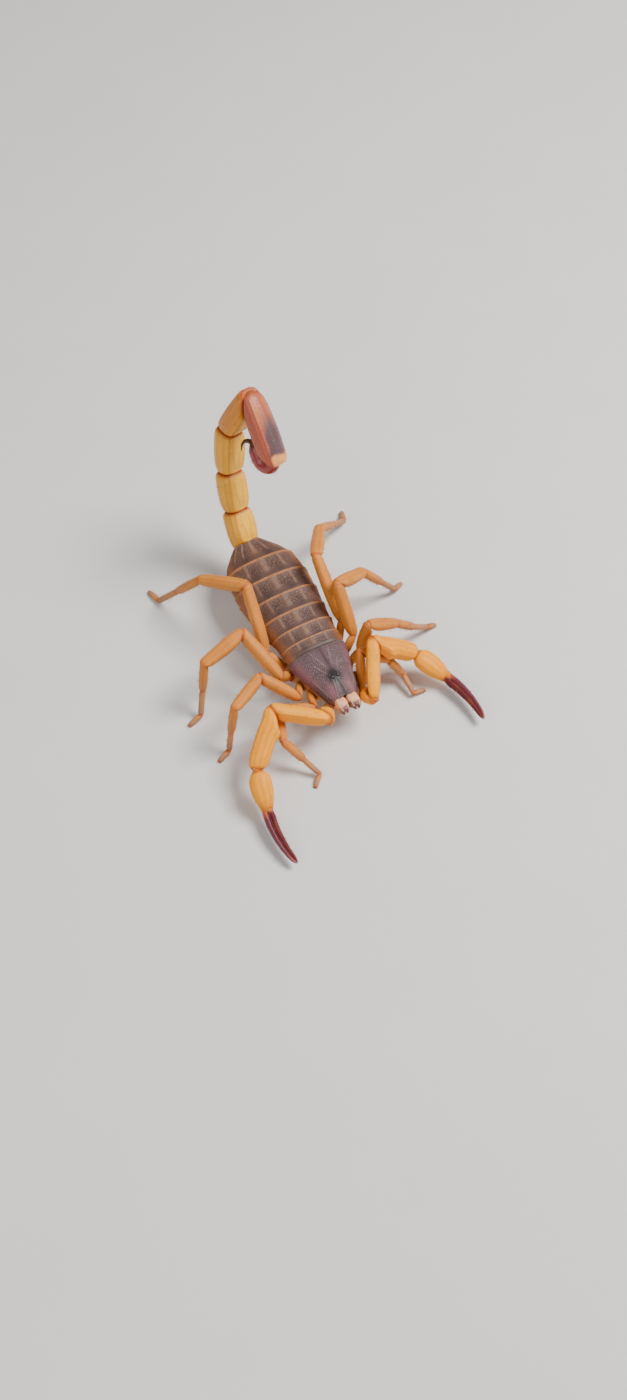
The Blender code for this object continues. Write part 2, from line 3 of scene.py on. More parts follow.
import bpy
import numpy as np
from mathutils import Matrix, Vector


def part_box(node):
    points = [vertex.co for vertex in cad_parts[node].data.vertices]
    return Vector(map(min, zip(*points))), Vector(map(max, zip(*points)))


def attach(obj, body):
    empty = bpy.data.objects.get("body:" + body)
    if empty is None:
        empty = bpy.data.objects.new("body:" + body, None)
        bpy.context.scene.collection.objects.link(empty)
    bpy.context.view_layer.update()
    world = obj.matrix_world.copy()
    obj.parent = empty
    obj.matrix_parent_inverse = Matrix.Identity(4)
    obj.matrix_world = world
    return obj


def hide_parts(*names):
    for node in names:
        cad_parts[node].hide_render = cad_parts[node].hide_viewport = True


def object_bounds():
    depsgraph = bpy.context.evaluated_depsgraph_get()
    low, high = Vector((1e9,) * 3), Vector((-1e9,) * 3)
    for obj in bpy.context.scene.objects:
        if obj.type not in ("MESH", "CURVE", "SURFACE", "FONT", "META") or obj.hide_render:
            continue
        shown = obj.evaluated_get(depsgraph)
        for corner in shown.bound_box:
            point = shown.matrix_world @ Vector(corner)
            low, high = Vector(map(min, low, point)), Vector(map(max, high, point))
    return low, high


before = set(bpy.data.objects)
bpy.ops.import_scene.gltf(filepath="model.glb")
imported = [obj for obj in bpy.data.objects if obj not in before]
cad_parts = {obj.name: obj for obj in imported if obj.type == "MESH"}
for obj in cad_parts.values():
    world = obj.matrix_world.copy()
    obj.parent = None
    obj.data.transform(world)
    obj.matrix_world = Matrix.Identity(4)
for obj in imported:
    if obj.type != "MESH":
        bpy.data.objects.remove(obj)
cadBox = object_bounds()
scene = bpy.context.scene

mm = 0.001
up = np.array((0.0, 0.0, 1.0))
back = np.array((0.0, 1.0, 0.0))
shieldLow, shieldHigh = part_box("carapace")
origin = np.array(((shieldLow.x + shieldHigh.x) / 2, shieldLow.y, 0.0))
boxInset = 0.01 * mm
boxLow, boxHigh = np.array(cadBox[0]) + boxInset, np.array(cadBox[1]) - boxInset


def unit(vector):
    vector = np.asarray(vector, float)
    return vector / np.linalg.norm(vector, axis=-1, keepdims=True)


# Monotone cubic through the knots: each slope is the harmonic mean of the chords beside it, and zero at
# a turning point, so the curve never overshoots a value.
def curveThrough(knots, values, at):
    knots, values = np.asarray(knots, float), np.asarray(values, float)
    steps = np.diff(knots)
    chords = np.diff(values) / steps
    slopes = np.append(chords[0], chords)
    same = chords[:-1] * chords[1:] > 0
    total = np.where(same, chords[:-1] + chords[1:], 1.0)
    slopes[1:-1] = np.where(same, 2 * chords[:-1] * chords[1:] / total, 0.0)
    at = np.clip(at, knots[0], knots[-1])
    index = np.clip(np.searchsorted(knots, at, side="right") - 1, 0, len(steps) - 1)
    width = steps[index]
    t = (at - knots[index]) / width
    ahead = t * t * (3 - 2 * t)
    return (values[index] * (1 - ahead) + values[index + 1] * ahead
            + width * t * (1 - t) * (slopes[index] * (1 - t) - slopes[index + 1] * t))


# One curve for each column of the stations after the first, which holds the knots.
def curvesThrough(stations, at):
    knots, *columns = zip(*stations)
    return [curveThrough(knots, column, at) for column in columns]


def smooth(low, high, value):
    t = np.clip((value - low) / (high - low), 0.0, 1.0)
    return t * t * (3 - 2 * t)


def bell(distance, width):
    return np.exp(-(distance / width) ** 2)


# A row of beads: a raised cosine of the distance along it.
def beaded(along, pitch, phase=0.0):
    return 0.5 + 0.5 * np.cos(2 * math.pi * along / pitch + phase)


def turns(count):
    return np.arange(count) * 2 * math.pi / count


# How far the angles are from a direction in degrees, the short way round.
def awayFrom(degrees, angles):
    return np.angle(np.exp(1j * (angles - math.radians(degrees))))


# Repeatable chance of a cell: the fraction left of a large sine of its column and row.
def chance(column, row, seed):
    return np.modf(np.abs(np.sin(column * 127.1 + row * 311.7 + seed * 74.7) * 43758.5453))[0]


# Rounded caps on a jittered lattice. Each point looks at the nine cells round it, and a cap is one minus
# the squared distance over the squared radius. wrap is the number of cells round a closed piece.
def granules(across, along, pitch, seed=1, wrap=None):
    x, y = np.broadcast_arrays(across / pitch, along / pitch)
    column, row = np.floor(x), np.floor(y)
    height = np.zeros(x.shape)
    for step in range(9):
        cellX, cellY = column + step // 3 - 1, row + step % 3 - 1
        key = np.mod(cellX, wrap) if wrap else cellX
        gapX = cellX + 0.2 + 0.6 * chance(key, cellY, seed) - x
        gapY = cellY + 0.2 + 0.6 * chance(key, cellY, seed + 1) - y
        radius = 0.44 * (0.55 + 0.45 * chance(key, cellY, seed + 2))
        height = np.maximum(height, 1 - (gapX ** 2 + gapY ** 2) / radius ** 2)
    return height ** 0.7


# Quads between neighbouring rows and columns of a grid.
def gridQuads(index):
    corners = (index[:-1, :-1], index[:-1, 1:], index[1:, 1:], index[1:, :-1])
    return np.stack(corners, -1).reshape(-1, 4)


# A closed body from rings that stay above the floor: the grid's quads, and a fan to the middle of each
# end ring.
def closedTube(grid, marks={}):
    grid[..., 2] = np.maximum(grid[..., 2], 0.0)
    rows, columns = grid.shape[:2]
    index = np.arange(rows * columns).reshape(rows, columns)
    index = np.column_stack((index, index[:, 0]))
    near, far = index[0], index[-1]
    fans = np.vstack((np.column_stack((np.full(columns, rows * columns), near[1:], near[:-1])),
                      np.column_stack((np.full(columns, rows * columns + 1), far[:-1], far[1:]))))
    flat = {}
    for key, value in marks.items():
        value = np.broadcast_to(value, (rows, columns))
        flat[key] = np.append(value.reshape(-1), (value[0].mean(), value[-1].mean()))
    outward = np.cross(np.roll(grid, -1, 1) - np.roll(grid, 1, 1), np.gradient(grid, axis=0))
    sense = np.sign(np.sum(outward * (grid - grid.mean(1, keepdims=True))))
    return {"points": np.vstack((grid.reshape(-1, 3), grid[0].mean(0), grid[-1].mean(0))),
            "quads": gridQuads(index), "fans": fans, "marks": flat, "grid": grid,
            "outward": outward * sense}


# A thin closed plate: an outer and an inner grid, joined by a strip round their borders.
def shell(outer, inner, marks):
    rows, columns = outer.shape[:2]
    count = rows * columns
    index = np.arange(count).reshape(rows, columns)
    border = np.concatenate((index[0, :-1], index[:-1, -1], index[-1, :0:-1], index[:0:-1, 0]))
    following = np.roll(border, -1)
    strip = np.column_stack((following, border, border + count, following + count))
    quads = gridQuads(index)
    flat = {key: np.tile(np.broadcast_to(value, (rows, columns)).reshape(-1), 2)
            for key, value in marks.items()}
    return {"points": np.vstack((outer.reshape(-1, 3), inner.reshape(-1, 3))),
            "quads": np.vstack((quads, quads[:, ::-1] + count, strip)),
            "fans": np.zeros((0, 3), int), "marks": flat}


# Six times the enclosed volume, positive where the faces point outward.
def enclosed(points, surface):
    quads = surface["quads"]
    triangles = np.vstack((quads[:, (0, 1, 2)], quads[:, (0, 2, 3)], surface["fans"]))
    a, b, c = (points[triangles[:, corner]] for corner in range(3))
    return np.sum(a * np.cross(b, c))


# Joins closed surfaces into one object, in place in the frame, on the body, with its finish and marks.
def putPiece(name, surfaces, look, slotName, *nodes):
    points, faces, start = [], [], 0
    marks = {"tone": [], "stripe": [], "ends": [], "ridge": []}
    for surface in surfaces if isinstance(surfaces, list) else [surfaces]:
        own = surface["points"]
        turned = enclosed(own - own.mean(0), surface) < 0
        for group in (surface["quads"], surface["fans"]):
            faces += ((group[:, ::-1] if turned else group) + start).tolist()
        for key in marks:
            marks[key].append(surface["marks"].get(key, np.zeros(len(own))))
        points.append(own)
        start += len(own)
    placed = np.clip(np.vstack(points) * mm + origin, boxLow, boxHigh)
    mesh = bpy.data.meshes.new(name)
    mesh.from_pydata(placed.tolist(), [], faces)
    for key in marks:
        values = np.clip(np.concatenate(marks[key]), 0, 1).astype(np.float32)
        mesh.attributes.new(key, "FLOAT", "POINT").data.foreach_set("value", values)
    mesh.materials.append(finish[look])
    mesh.shade_smooth()
    mesh.update()
    made = bpy.data.objects.new(name, mesh)
    scene.collection.objects.link(made)
    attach(made, "root")
    if nodes:
        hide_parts(*nodes)


furrowWidth = math.radians(24)


# Relief of a segment: granular keels at angles round it, and granules between them. A keel is a bell
# across its line times a row of beads along it. A furrow is a valley along the back.
def keeled(keels=(), beadPitch=0.2, grain=0.0, grainPitch=0.26, furrow=0.0, seed=1, mirrored=True):
    def relief(angles, along, length, girth):
        height = np.zeros(np.broadcast(angles, along).shape)
        ridge = np.zeros(height.shape)
        ends = smooth(0.0, 0.1, along / length) * smooth(1.0, 0.93, along / length)
        for number, (degrees, rise, width) in enumerate(keels):
            beads = beaded(along, beadPitch, number)
            for turn in ((degrees, 180 - degrees) if mirrored else (degrees,)):
                keel = bell(awayFrom(turn, angles), math.radians(width)) * ends
                height += rise * keel * (0.5 + 0.5 * beads)
                ridge = np.maximum(ridge, keel * (0.45 + 0.55 * beads))
        if grain:
            cells = max(6, round(girth / grainPitch))
            field = granules(angles / (2 * math.pi) * cells * grainPitch, along, grainPitch, seed, cells)
            height += grain * field * ends
            ridge = np.maximum(ridge, 0.5 * field * ends)
        return height - furrow * bell(awayFrom(90, angles), furrowWidth) * ends, ridge
    return relief


# Superellipse rings, one for each pair of half sizes, raised along their outward directions by the
# relief. A point is the half size times the cosine or sine to the power of two over the given power.
def rings(halfWidth, halfHeight, power, around, relief, along, girth):
    angles = turns(around)[None, :]
    places, slopes = [], []
    for half, wave in ((halfWidth, np.cos(angles)), (halfHeight, np.sin(angles))):
        share = np.abs(wave) ** (2 / power)
        places.append(half[:, None] * np.sign(wave) * share)
        slopes.append(np.sign(wave) * share ** (power - 1) / half[:, None])
    lift, ridge = (relief or keeled())(angles, along[:, None], along[-1], girth)
    x, y = (place + slope / np.hypot(*slopes) * lift for place, slope in zip(places, slopes))
    return angles, x, y, ridge


capSizes = 1 - np.array((0.94, 0.82, 0.6, 0.3, 0.0))       # how wide the rows of a closed end are
capDepth = 0.12
jointGap = 0.05
soleStart, soleReach = 0.72, 0.12       # past this place a foot's lowest part is pressed flat on the floor


# One limb segment between two joints: superellipse sections that follow a profile of
# (place, width share, height share, shift to the left in mm), cut at each joint in the plane halfway
# between this segment and its neighbour, with its relief, and closed by shallow ends.
def segment(start, end, profile, width, height, before=None, after=None, dorsal=up, power=2.4,
            rows=44, around=36, relief=None, bow=0.0, sole=False, tone=None):
    along = unit(end - start)
    length = np.linalg.norm(end - start)
    left = unit(np.cross(dorsal, along))
    upper = np.cross(along, left)
    lowest = profile[0][0]
    places = np.concatenate((np.full(5, lowest), np.linspace(lowest, 1.0, rows), np.full(5, 1.0)))
    shrink = np.concatenate((capSizes, np.ones(rows), capSizes[::-1]))[:, None]
    halfWidth, halfHeight, *shift = curvesThrough(profile, places)
    halfWidth, halfHeight = halfWidth * width / 2, halfHeight * height / 2
    angles, x, y, ridge = rings(halfWidth, halfHeight, power, around, relief, places * length,
                                math.pi * (width + height) / 2)
    places, halfHeight = places[:, None], halfHeight[:, None]
    x = x * shrink + (shift[0][:, None] if shift else 0)
    y = y * shrink - 4 * bow * places * (1 - places)
    offset = x[..., None] * left + y[..., None] * upper
    near, far = (along if aim is None else unit(aim + along) for aim in (before, after))
    gapNear, gapFar = (0 if aim is None else jointGap for aim in (before, after))
    bulge = 0.5 * halfHeight
    first = np.maximum((gapNear - offset @ near) / (along @ near), -bulge)
    last = np.minimum(length - (gapFar + offset @ far) / (along @ far), length + bulge)
    dip = capDepth * (1 - shrink ** 2)
    spot = first * (1 - places) + last * places + np.where(places < 0.5, dip, -dip)
    grid = start + offset + spot[..., None] * along
    if sole:
        grid[..., 2] = np.where((places > soleStart) & (grid[..., 2] < soleReach), 0.0, grid[..., 2])
    distance = places * length
    marks = {"ridge": ridge, "ends": bell(distance, 0.26) + bell(length - distance, 0.32)}
    if tone:
        marks.update(tone(angles, places))
    return closedTube(grid, marks)


# A piece through stations of (point, half width, half height) on a smooth line, round or boxy.
def loft(stations, rows=40, around=28, power=2.2, relief=None, tone=None):
    middles = np.array([station[0] for station in stations], float)
    travelled = np.append(0.0, np.cumsum(np.linalg.norm(np.diff(middles, axis=0), axis=1)))
    share = np.linspace(0, 1, rows)
    at = share * travelled[-1]
    knots = [(place, *middle, *halves) for place, middle, (_, *halves) in zip(travelled, middles, stations)]
    *line, halfWidth, halfHeight = curvesThrough(knots, at)
    line = np.column_stack(line)
    along = unit(np.gradient(line, axis=0))
    left = unit(np.cross(up, along))
    upper = np.cross(along, left)
    girth = 2 * math.pi * halfHeight.max()
    angles, x, y, ridge = rings(halfWidth, halfHeight, power, around, relief, at, girth)
    marks = {"ridge": ridge}
    if tone:
        marks.update(tone(angles, share[:, None]))
    return closedTube(line[:, None] + x[..., None] * left[:, None] + y[..., None] * upper[:, None], marks)


# A circle of directions: the cosine along one axis and the sine along the other.
def circle(around, side, over):
    angles = turns(around)[None, :, None]
    return np.cos(angles) * side + np.sin(angles) * over


# A hook: a round tapering tube on an arc that starts along a heading and turns toward a second direction.
def hook(root, heading, toward, length, turn, radii, rows=9, around=8, marks={}):
    heading = unit(heading)
    toward = unit(toward - heading * (np.asarray(toward) @ heading))
    share = np.linspace(0, 1, rows)
    angle = (np.radians(turn) * share)[:, None]
    along = np.cos(angle) * heading + np.sin(angle) * toward
    steps = (along[1:] + along[:-1]) / 2 * length / (rows - 1)
    line = root + np.vstack((np.zeros(3), np.cumsum(steps, axis=0)))
    side = np.cross(heading, toward)
    radius = radii[1] + (radii[0] - radii[1]) * (1 - share) ** 0.85
    over = np.cross(along, side)[:, None]
    return closedTube(line[:, None] + radius[:, None, None] * circle(around, side, over), marks)


# An egg: rings of a sphere, stretched along its own axis and across it.
def egg(centre, radius, axis=up, stretch=1.0, rows=9, around=14, marks={}):
    axis = unit(axis)
    side = unit(np.cross(axis, (0.31, 0.87, 0.38)))
    turn = np.linspace(0.12, math.pi - 0.12, rows)[:, None, None]
    return closedTube(np.asarray(centre) - np.cos(turn) * radius * stretch * axis
                      + radius * np.sin(turn) * circle(around, side, np.cross(axis, side)), marks)


hairStart, hairEnd = 0.18, 0.88         # where along a piece its bristles stand
bellyStart, bellySpan = 0.62, 0.26      # the belly's share of the way round
hairRings = ((-0.08, 0.028), (0.35, 0.021), (0.7, 0.013))       # place along a bristle, radius


# Bristles: thin three-sided spikes that leave a surface between its outward and its forward direction
# and bend forward. All of them are worked out at once, ring by ring.
def bristles(surface, count, length, seed, belly=0.0):
    draw = np.random.default_rng(seed)
    grid, outward = surface["grid"], unit(surface["outward"] + 1e-12)
    rows, columns = grid.shape[:2]
    row = draw.integers(int(rows * hairStart), int(rows * hairEnd), count)
    column = draw.integers(0, columns, count)
    if belly:
        low = draw.random(count) < belly
        column = np.where(low, (columns * (bellyStart + bellySpan * draw.random(count))).astype(int), column)
    root, out = grid[row, column], outward[row, column]
    ahead = unit(grid[np.minimum(row + 2, rows - 1), column] - grid[row - 2, column])
    size = length * (0.55 + 0.45 * draw.random(count))[:, None]
    side = unit(np.cross(out, ahead))
    lean = 0.5 + 0.5 * draw.random(count)[:, None]
    corners = [math.cos(turn) * side + math.sin(turn) * ahead for turn in (0.0, 2.1, 4.2)]
    points = []
    for share, radius in hairRings:
        middle = root + size * (share * out + lean * share ** 2 * ahead)
        points += [middle + radius * corner for corner in corners]
    points.append(root + size * (0.93 * out + lean * ahead))
    points = np.stack(points, 1)
    points[..., 2] = np.maximum(points[..., 2], 0.0)
    quads = [(r + k, r + (k + 1) % 3, r + 3 + (k + 1) % 3, r + 3 + k) for r in (0, 3) for k in range(3)]
    fans = [(6, 7, 9), (7, 8, 9), (8, 6, 9), (2, 1, 0)]
    step = (np.arange(count) * 10)[:, None, None]
    return {"points": points.reshape(-1, 3), "quads": (np.array(quads)[None] + step).reshape(-1, 4),
            "fans": (np.array(fans)[None] + step).reshape(-1, 3), "marks": {}}


def tint(*parts):
    shares = np.array(parts) / 255
    linear = np.where(shares > 0.04045, ((shares + 0.055) / 1.055) ** 2.4, shares / 12.92)
    return (*[float(share) for share in linear], 1.0)


# Gives a socket its value, or the link that it comes from.
def feed(tree, socket, value):
    if isinstance(value, bpy.types.NodeSocket):
        tree.links.new(value, socket)
    else:
        socket.default_value = value


def mixNode(tree, factor, first, second, blend="MIX"):
    node = tree.nodes.new("ShaderNodeMix")
    node.data_type = "RGBA"
    node.blend_type = blend
    for number, value in ((0, factor), (6, first), (7, second)):
        feed(tree, node.inputs[number], value)
    return node.outputs[2]


def mathNode(tree, operation, *values):
    node = tree.nodes.new("ShaderNodeMath")
    node.operation = operation
    for socket, value in zip(node.inputs, values):
        feed(tree, socket, value)
    return node.outputs[0]


def noiseNode(tree, coordinates, scale, detail=3.0):
    node = tree.nodes.new("ShaderNodeTexNoise")
    for key, value in (("Vector", coordinates), ("Scale", scale), ("Detail", detail)):
        feed(tree, node.inputs[key], value)
    return node.outputs["Fac"]


# A new material, with its node tree and its shader's sockets.
def newMaterial(name):
    made = bpy.data.materials.new(name)
    made.use_nodes = True
    return made, made.node_tree, made.node_tree.nodes["Principled BSDF"].inputs


colourNames = ("Main", "Tone", "Stripe", "Ends", "Ridge")
amountNames = ("Cloud Size", "Cloud Depth", "Speck Depth", "Grain Size", "Low Rough", "High Rough")
cloudSize, speckSize, grainSize = 420.0, 6500.0, 15000.0
wobbleSpan, wobbleLow = 0.35, 0.82      # how far the clouds wear the edges of the marks
speckHeight = 0.4
bumpReach = 0.04 * mm
coatRough = 0.25


# The cuticle group: five colours laid over each other by the piece's marks, cloudy mottling, fine
# specks, a roughness that varies with the clouds, and the height of fine pits and grain.
def cuticleGroup():
    group = bpy.data.node_groups.new("cuticle", "ShaderNodeTree")
    for names, flow, kind in (
            (colourNames, "INPUT", "Color"), (amountNames, "INPUT", "Float"),
            (("Color",), "OUTPUT", "Color"), (("Roughness", "Height"), "OUTPUT", "Float")):
        for name in names:
            group.interface.new_socket(name, in_out=flow, socket_type="NodeSocket" + kind)
    given = group.nodes.new("NodeGroupInput").outputs
    result = group.nodes.new("NodeGroupOutput").inputs
    spot = group.nodes.new("ShaderNodeTexCoord").outputs["Object"]
    clouds = noiseNode(group, spot, given["Cloud Size"])
    specks = noiseNode(group, spot, speckSize, 2.0)
    grain = noiseNode(group, spot, given["Grain Size"], 4.0)
    colour = given["Main"]
    for name in colourNames[1:]:
        mark = group.nodes.new("ShaderNodeAttribute")
        mark.attribute_name = name.lower()
        wobble = mathNode(group, "MULTIPLY_ADD", clouds, wobbleSpan, wobbleLow)
        share = mathNode(group, "MULTIPLY", mark.outputs["Fac"], wobble)
        colour = mixNode(group, share, colour, given[name])
    shade, flecks = (
        mathNode(group, "MULTIPLY_ADD", mathNode(group, "SUBTRACT", noise, 0.5), given[name], 1.0)
        for noise, name in ((clouds, "Cloud Depth"), (specks, "Speck Depth")))
    grey = group.nodes.new("ShaderNodeCombineColor")
    for socket in grey.inputs[:3]:
        feed(group, socket, mathNode(group, "MULTIPLY", shade, flecks))
    feed(group, result["Color"], mixNode(group, 1.0, colour, grey.outputs[0], "MULTIPLY"))
    span = mathNode(group, "SUBTRACT", given["High Rough"], given["Low Rough"])
    feed(group, result["Roughness"], mathNode(group, "MULTIPLY_ADD", clouds, span, given["Low Rough"]))
    fine = mathNode(group, "MULTIPLY", specks, speckHeight)
    feed(group, result["Height"], mathNode(group, "ADD", fine, grain))
    return group


cuticle = cuticleGroup()
# main, tone, stripe, ends and ridge colours, then low and high roughness, coat, cloud depth, speck
# depth, bump and shine
cuticleLooks = {
    "darkShell": ((86, 64, 66), (134, 80, 88), (42, 36, 38), (84, 74, 74), (126, 102, 98),
        0.4, 0.6, 0.06, 0.45, 0.3, 0.3, 0.3),
    "trunkShell": ((84, 60, 52), (150, 88, 42), (46, 32, 32), (164, 104, 54), (134, 98, 76),
        0.4, 0.6, 0.06, 0.5, 0.3, 0.3, 0.3),
    "paleShell": ((204, 134, 66), (184, 98, 40), (60, 32, 22), (158, 84, 38), (222, 168, 104),
        0.38, 0.58, 0.04, 0.35, 0.2, 0.3, 0.3),
    "membrane": ((160, 78, 30), (140, 60, 26), (104, 42, 22), (130, 60, 28), (186, 112, 56),
        0.45, 0.62, 0.0, 0.4, 0.2, 0.4, 0.3),
    "jointSkin": ((212, 122, 38), (150, 70, 28), (120, 52, 24), (150, 70, 28), (206, 126, 54),
        0.45, 0.6, 0.0, 0.4, 0.2, 0.4, 0.3),
    "legShell": ((210, 134, 54), (158, 116, 94), (186, 110, 74), (184, 96, 42), (196, 106, 36),
        0.4, 0.56, 0.0, 0.4, 0.18, 0.22, 0.18),
    "armShell": ((252, 162, 14), (98, 32, 38), (172, 58, 30), (190, 92, 22), (228, 128, 14),
        0.4, 0.55, 0.0, 0.34, 0.14, 0.2, 0.18),
    "fingerShell": ((104, 38, 50), (158, 60, 52), (184, 84, 44), (80, 26, 34), (130, 60, 62),
        0.28, 0.45, 0.14, 0.4, 0.2, 0.2, 0.3),
    "tailShell": ((255, 192, 46), (190, 96, 28), (216, 124, 38), (170, 74, 24), (224, 140, 34),
        0.36, 0.52, 0.07, 0.34, 0.16, 0.25, 0.3),
    # here the ridge colour is the pale mauve of a painted highlight on the last segment's flank
    "tailEndShell": ((174, 84, 60), (90, 66, 68), (228, 152, 84), (194, 112, 66), (172, 134, 134),
        0.32, 0.5, 0.1, 0.45, 0.22, 0.28, 0.3),
    "bulbShell": ((150, 42, 39), (112, 26, 28), (50, 16, 16), (160, 66, 44), (158, 62, 52),
        0.2, 0.36, 0.3, 0.35, 0.16, 0.15, 0.5),
    "stingHorn": ((24, 17, 17), (84, 30, 24), (20, 16, 16), (40, 26, 24), (40, 30, 30),
        0.16, 0.28, 0.3, 0.3, 0.1, 0.08, 0.5),
    "jawShell": ((236, 164, 118), (92, 34, 46), (244, 222, 196), (206, 138, 88), (244, 196, 156),
        0.34, 0.52, 0.1, 0.3, 0.25, 0.22, 0.3),
    "combShell": ((238, 200, 150), (222, 168, 108), (214, 160, 104), (214, 150, 92), (244, 220, 180),
        0.45, 0.6, 0.05, 0.25, 0.15, 0.2, 0.3),
    "eyeGloss": ((16, 14, 17), (22, 20, 24), (22, 20, 24), (22, 20, 24), (30, 28, 32),
        0.05, 0.1, 0.8, 0.2, 0.05, 0.02, 0.5),
    "bristleHorn": ((178, 110, 56), (150, 92, 52), (150, 92, 52), (150, 92, 52), (210, 160, 110),
        0.35, 0.5, 0.05, 0.3, 0.1, 0.05, 0.3),
}


def cuticleFinish(name, look):
    made, tree, shader = newMaterial(name)
    low, high, coat, clouds, specks, bumpShare, shine = look[5:]
    node = tree.nodes.new("ShaderNodeGroup")
    node.node_tree = cuticle
    for key, value in (*zip(colourNames, (tint(*colour) for colour in look[:5])),
                       *zip(amountNames, (cloudSize, clouds, specks, grainSize, low, high))):
        node.inputs[key].default_value = value
    bump = tree.nodes.new("ShaderNodeBump")
    for sockets, key, value in (
            (bump.inputs, "Strength", bumpShare), (bump.inputs, "Distance", bumpReach),
            (bump.inputs, "Height", node.outputs["Height"]), (shader, "Base Color", node.outputs["Color"]),
            (shader, "Roughness", node.outputs["Roughness"]), (shader, "Normal", bump.outputs["Normal"]),
            (shader, "Coat Weight", coat), (shader, "Coat Roughness", coatRough),
            (shader, "Specular IOR Level", shine)):
        feed(tree, sockets[key], value)
    made.diffuse_color = tint(*look[0])
    return made


finish = {name: cuticleFinish(name, look) for name, look in cuticleLooks.items()}
print("finishes:", len(finish))


# Joints along a limb: each segment keeps its length, its heading on the floor and its end's height.
def jointLine(start, lengths, headings, heights):
    points = [np.array(start, dtype=float)]
    for length, heading, height in zip(lengths, headings, heights):
        climb = height - points[-1][2]
        reach = math.sqrt(length ** 2 - climb ** 2)
        turn = math.radians(heading)
        points.append(points[-1] + (reach * math.sin(turn), -reach * math.cos(turn), climb))
    return points


sides = {"left": 1, "right": -1}

legPlan = {
    "coxaEnds": ((3.4, 3.9, 4.6), (4.0, 5.9, 4.5), (4.4, 7.9, 4.4), (4.4, 9.8, 4.4)),
    "coxaRoots": ((0.9, 2.6, 4.1), (1.0, 4.2, 4.0), (1.1, 5.6, 3.95), (1.25, 6.95, 3.85)),
    "coxaRadius": 0.78,
    "lengths": ((2.2, 5.0, 4.8, 3.9, 3.1, 2.0), (2.4, 6.4, 6.1, 4.7, 3.8, 2.1),
                (2.6, 8.0, 6.8, 5.1, 4.1, 2.2), (3.1, 9.8, 8.1, 6.1, 4.8, 2.6)),
    "widths": ((1.4, 1.4, 1.2, 0.8), (1.65, 1.75, 1.15, 0.85),
               (1.9, 2.05, 1.2, 0.9), (1.75, 2.0, 1.15, 0.9)),
    "heights": ((1.6, 1.5, 1.1, 0.8), (1.75, 1.7, 1.15, 0.85),
                (2.0, 1.8, 1.2, 0.9), (1.9, 1.8, 1.2, 0.9)),
    "trochanterSize": (1.15, 1.7),
    # headings, then heights of the joints
    "right": (((-17, -106, -18, 37, 32, -45), (4.8, 5.3, 5.1, 2.5, 0.7, 0.2)),
              ((-33, -127, -61, -67, -59, -69), (5.2, 8.8, 9.0, 4.4, 0.7, 0.2)),
              ((-76, -158, -77, -56, -41, -75), (6.3, 10.3, 9.3, 4.3, 0.7, 0.2)),
              ((-146, 173, -145, -140, -135, -167), (5.8, 11.9, 8.9, 4.2, 0.6, 0.2))),
    "left": (((4, 156, 66, 58, 3, 90), (4.3, 7.8, 5.3, 2.0, 0.9, 0.2)),
             ((118, 60, 98, 94, 102, 102), (4.6, 10.9, 7.3, 3.9, 1.3, 0.2)),
             ((127, 180, 113, 87, 90, 119), (5.3, 11.8, 8.5, 4.4, 1.1, 0.2)),
             ((146, 178, 148, 126, 122, 160), (5.7, 11.4, 8.3, 4.1, 1.1, 0.2))),
    "trochanter": ((0.0, 0.7, 0.6), (0.25, 0.95, 0.8), (0.7, 1.0, 0.85), (1.0, 0.85, 0.68)),
    "femur": ((0.0, 0.6, 0.56), (0.14, 0.9, 0.82), (0.45, 1.0, 1.0), (0.8, 0.94, 0.92),
              (0.95, 0.88, 0.84), (1.0, 0.76, 0.7)),
    "patella": ((0.0, 0.7, 0.66), (0.07, 0.88, 0.86), (0.35, 1.0, 1.0), (0.7, 0.92, 0.9),
                (0.94, 0.82, 0.8), (1.0, 0.7, 0.68)),
    "tibia": ((0.0, 0.8, 0.76), (0.08, 0.98, 0.96), (0.5, 1.0, 1.0), (0.9, 0.94, 0.92), (1.0, 0.76, 0.74)),
    "basitarsus": ((0.0, 0.7, 0.72), (0.1, 0.95, 0.95), (0.5, 0.95, 0.95), (0.9, 0.9, 0.9),
                   (1.0, 0.74, 0.76)),
    "telotarsus": ((0.0, 0.72, 0.74), (0.2, 0.9, 0.9), (0.5, 0.85, 0.85), (0.8, 0.78, 0.78),
                   (1.0, 0.55, 0.5)),
    "joints": (0.66, 0.64, 0.7, 0.68, 0.76, 0.76),
    # length, turn in degrees, radii at the root and the tip
    "claw": (0.62, 85, (0.1, 0.03)), "pedalSpur": (0.34, 25, (0.07, 0.02)),
    "shinSpur": (0.5, 25, (0.08, 0.02)),
    # from the femur on: how many bristles, how long, and what share is kept for the belly side
    "hairs": ((46, 0.5, 0), (44, 0.5, 0), (44, 0.55, 0.4), (40, 0.5, 0.6), (30, 0.34, 0.6)),
}

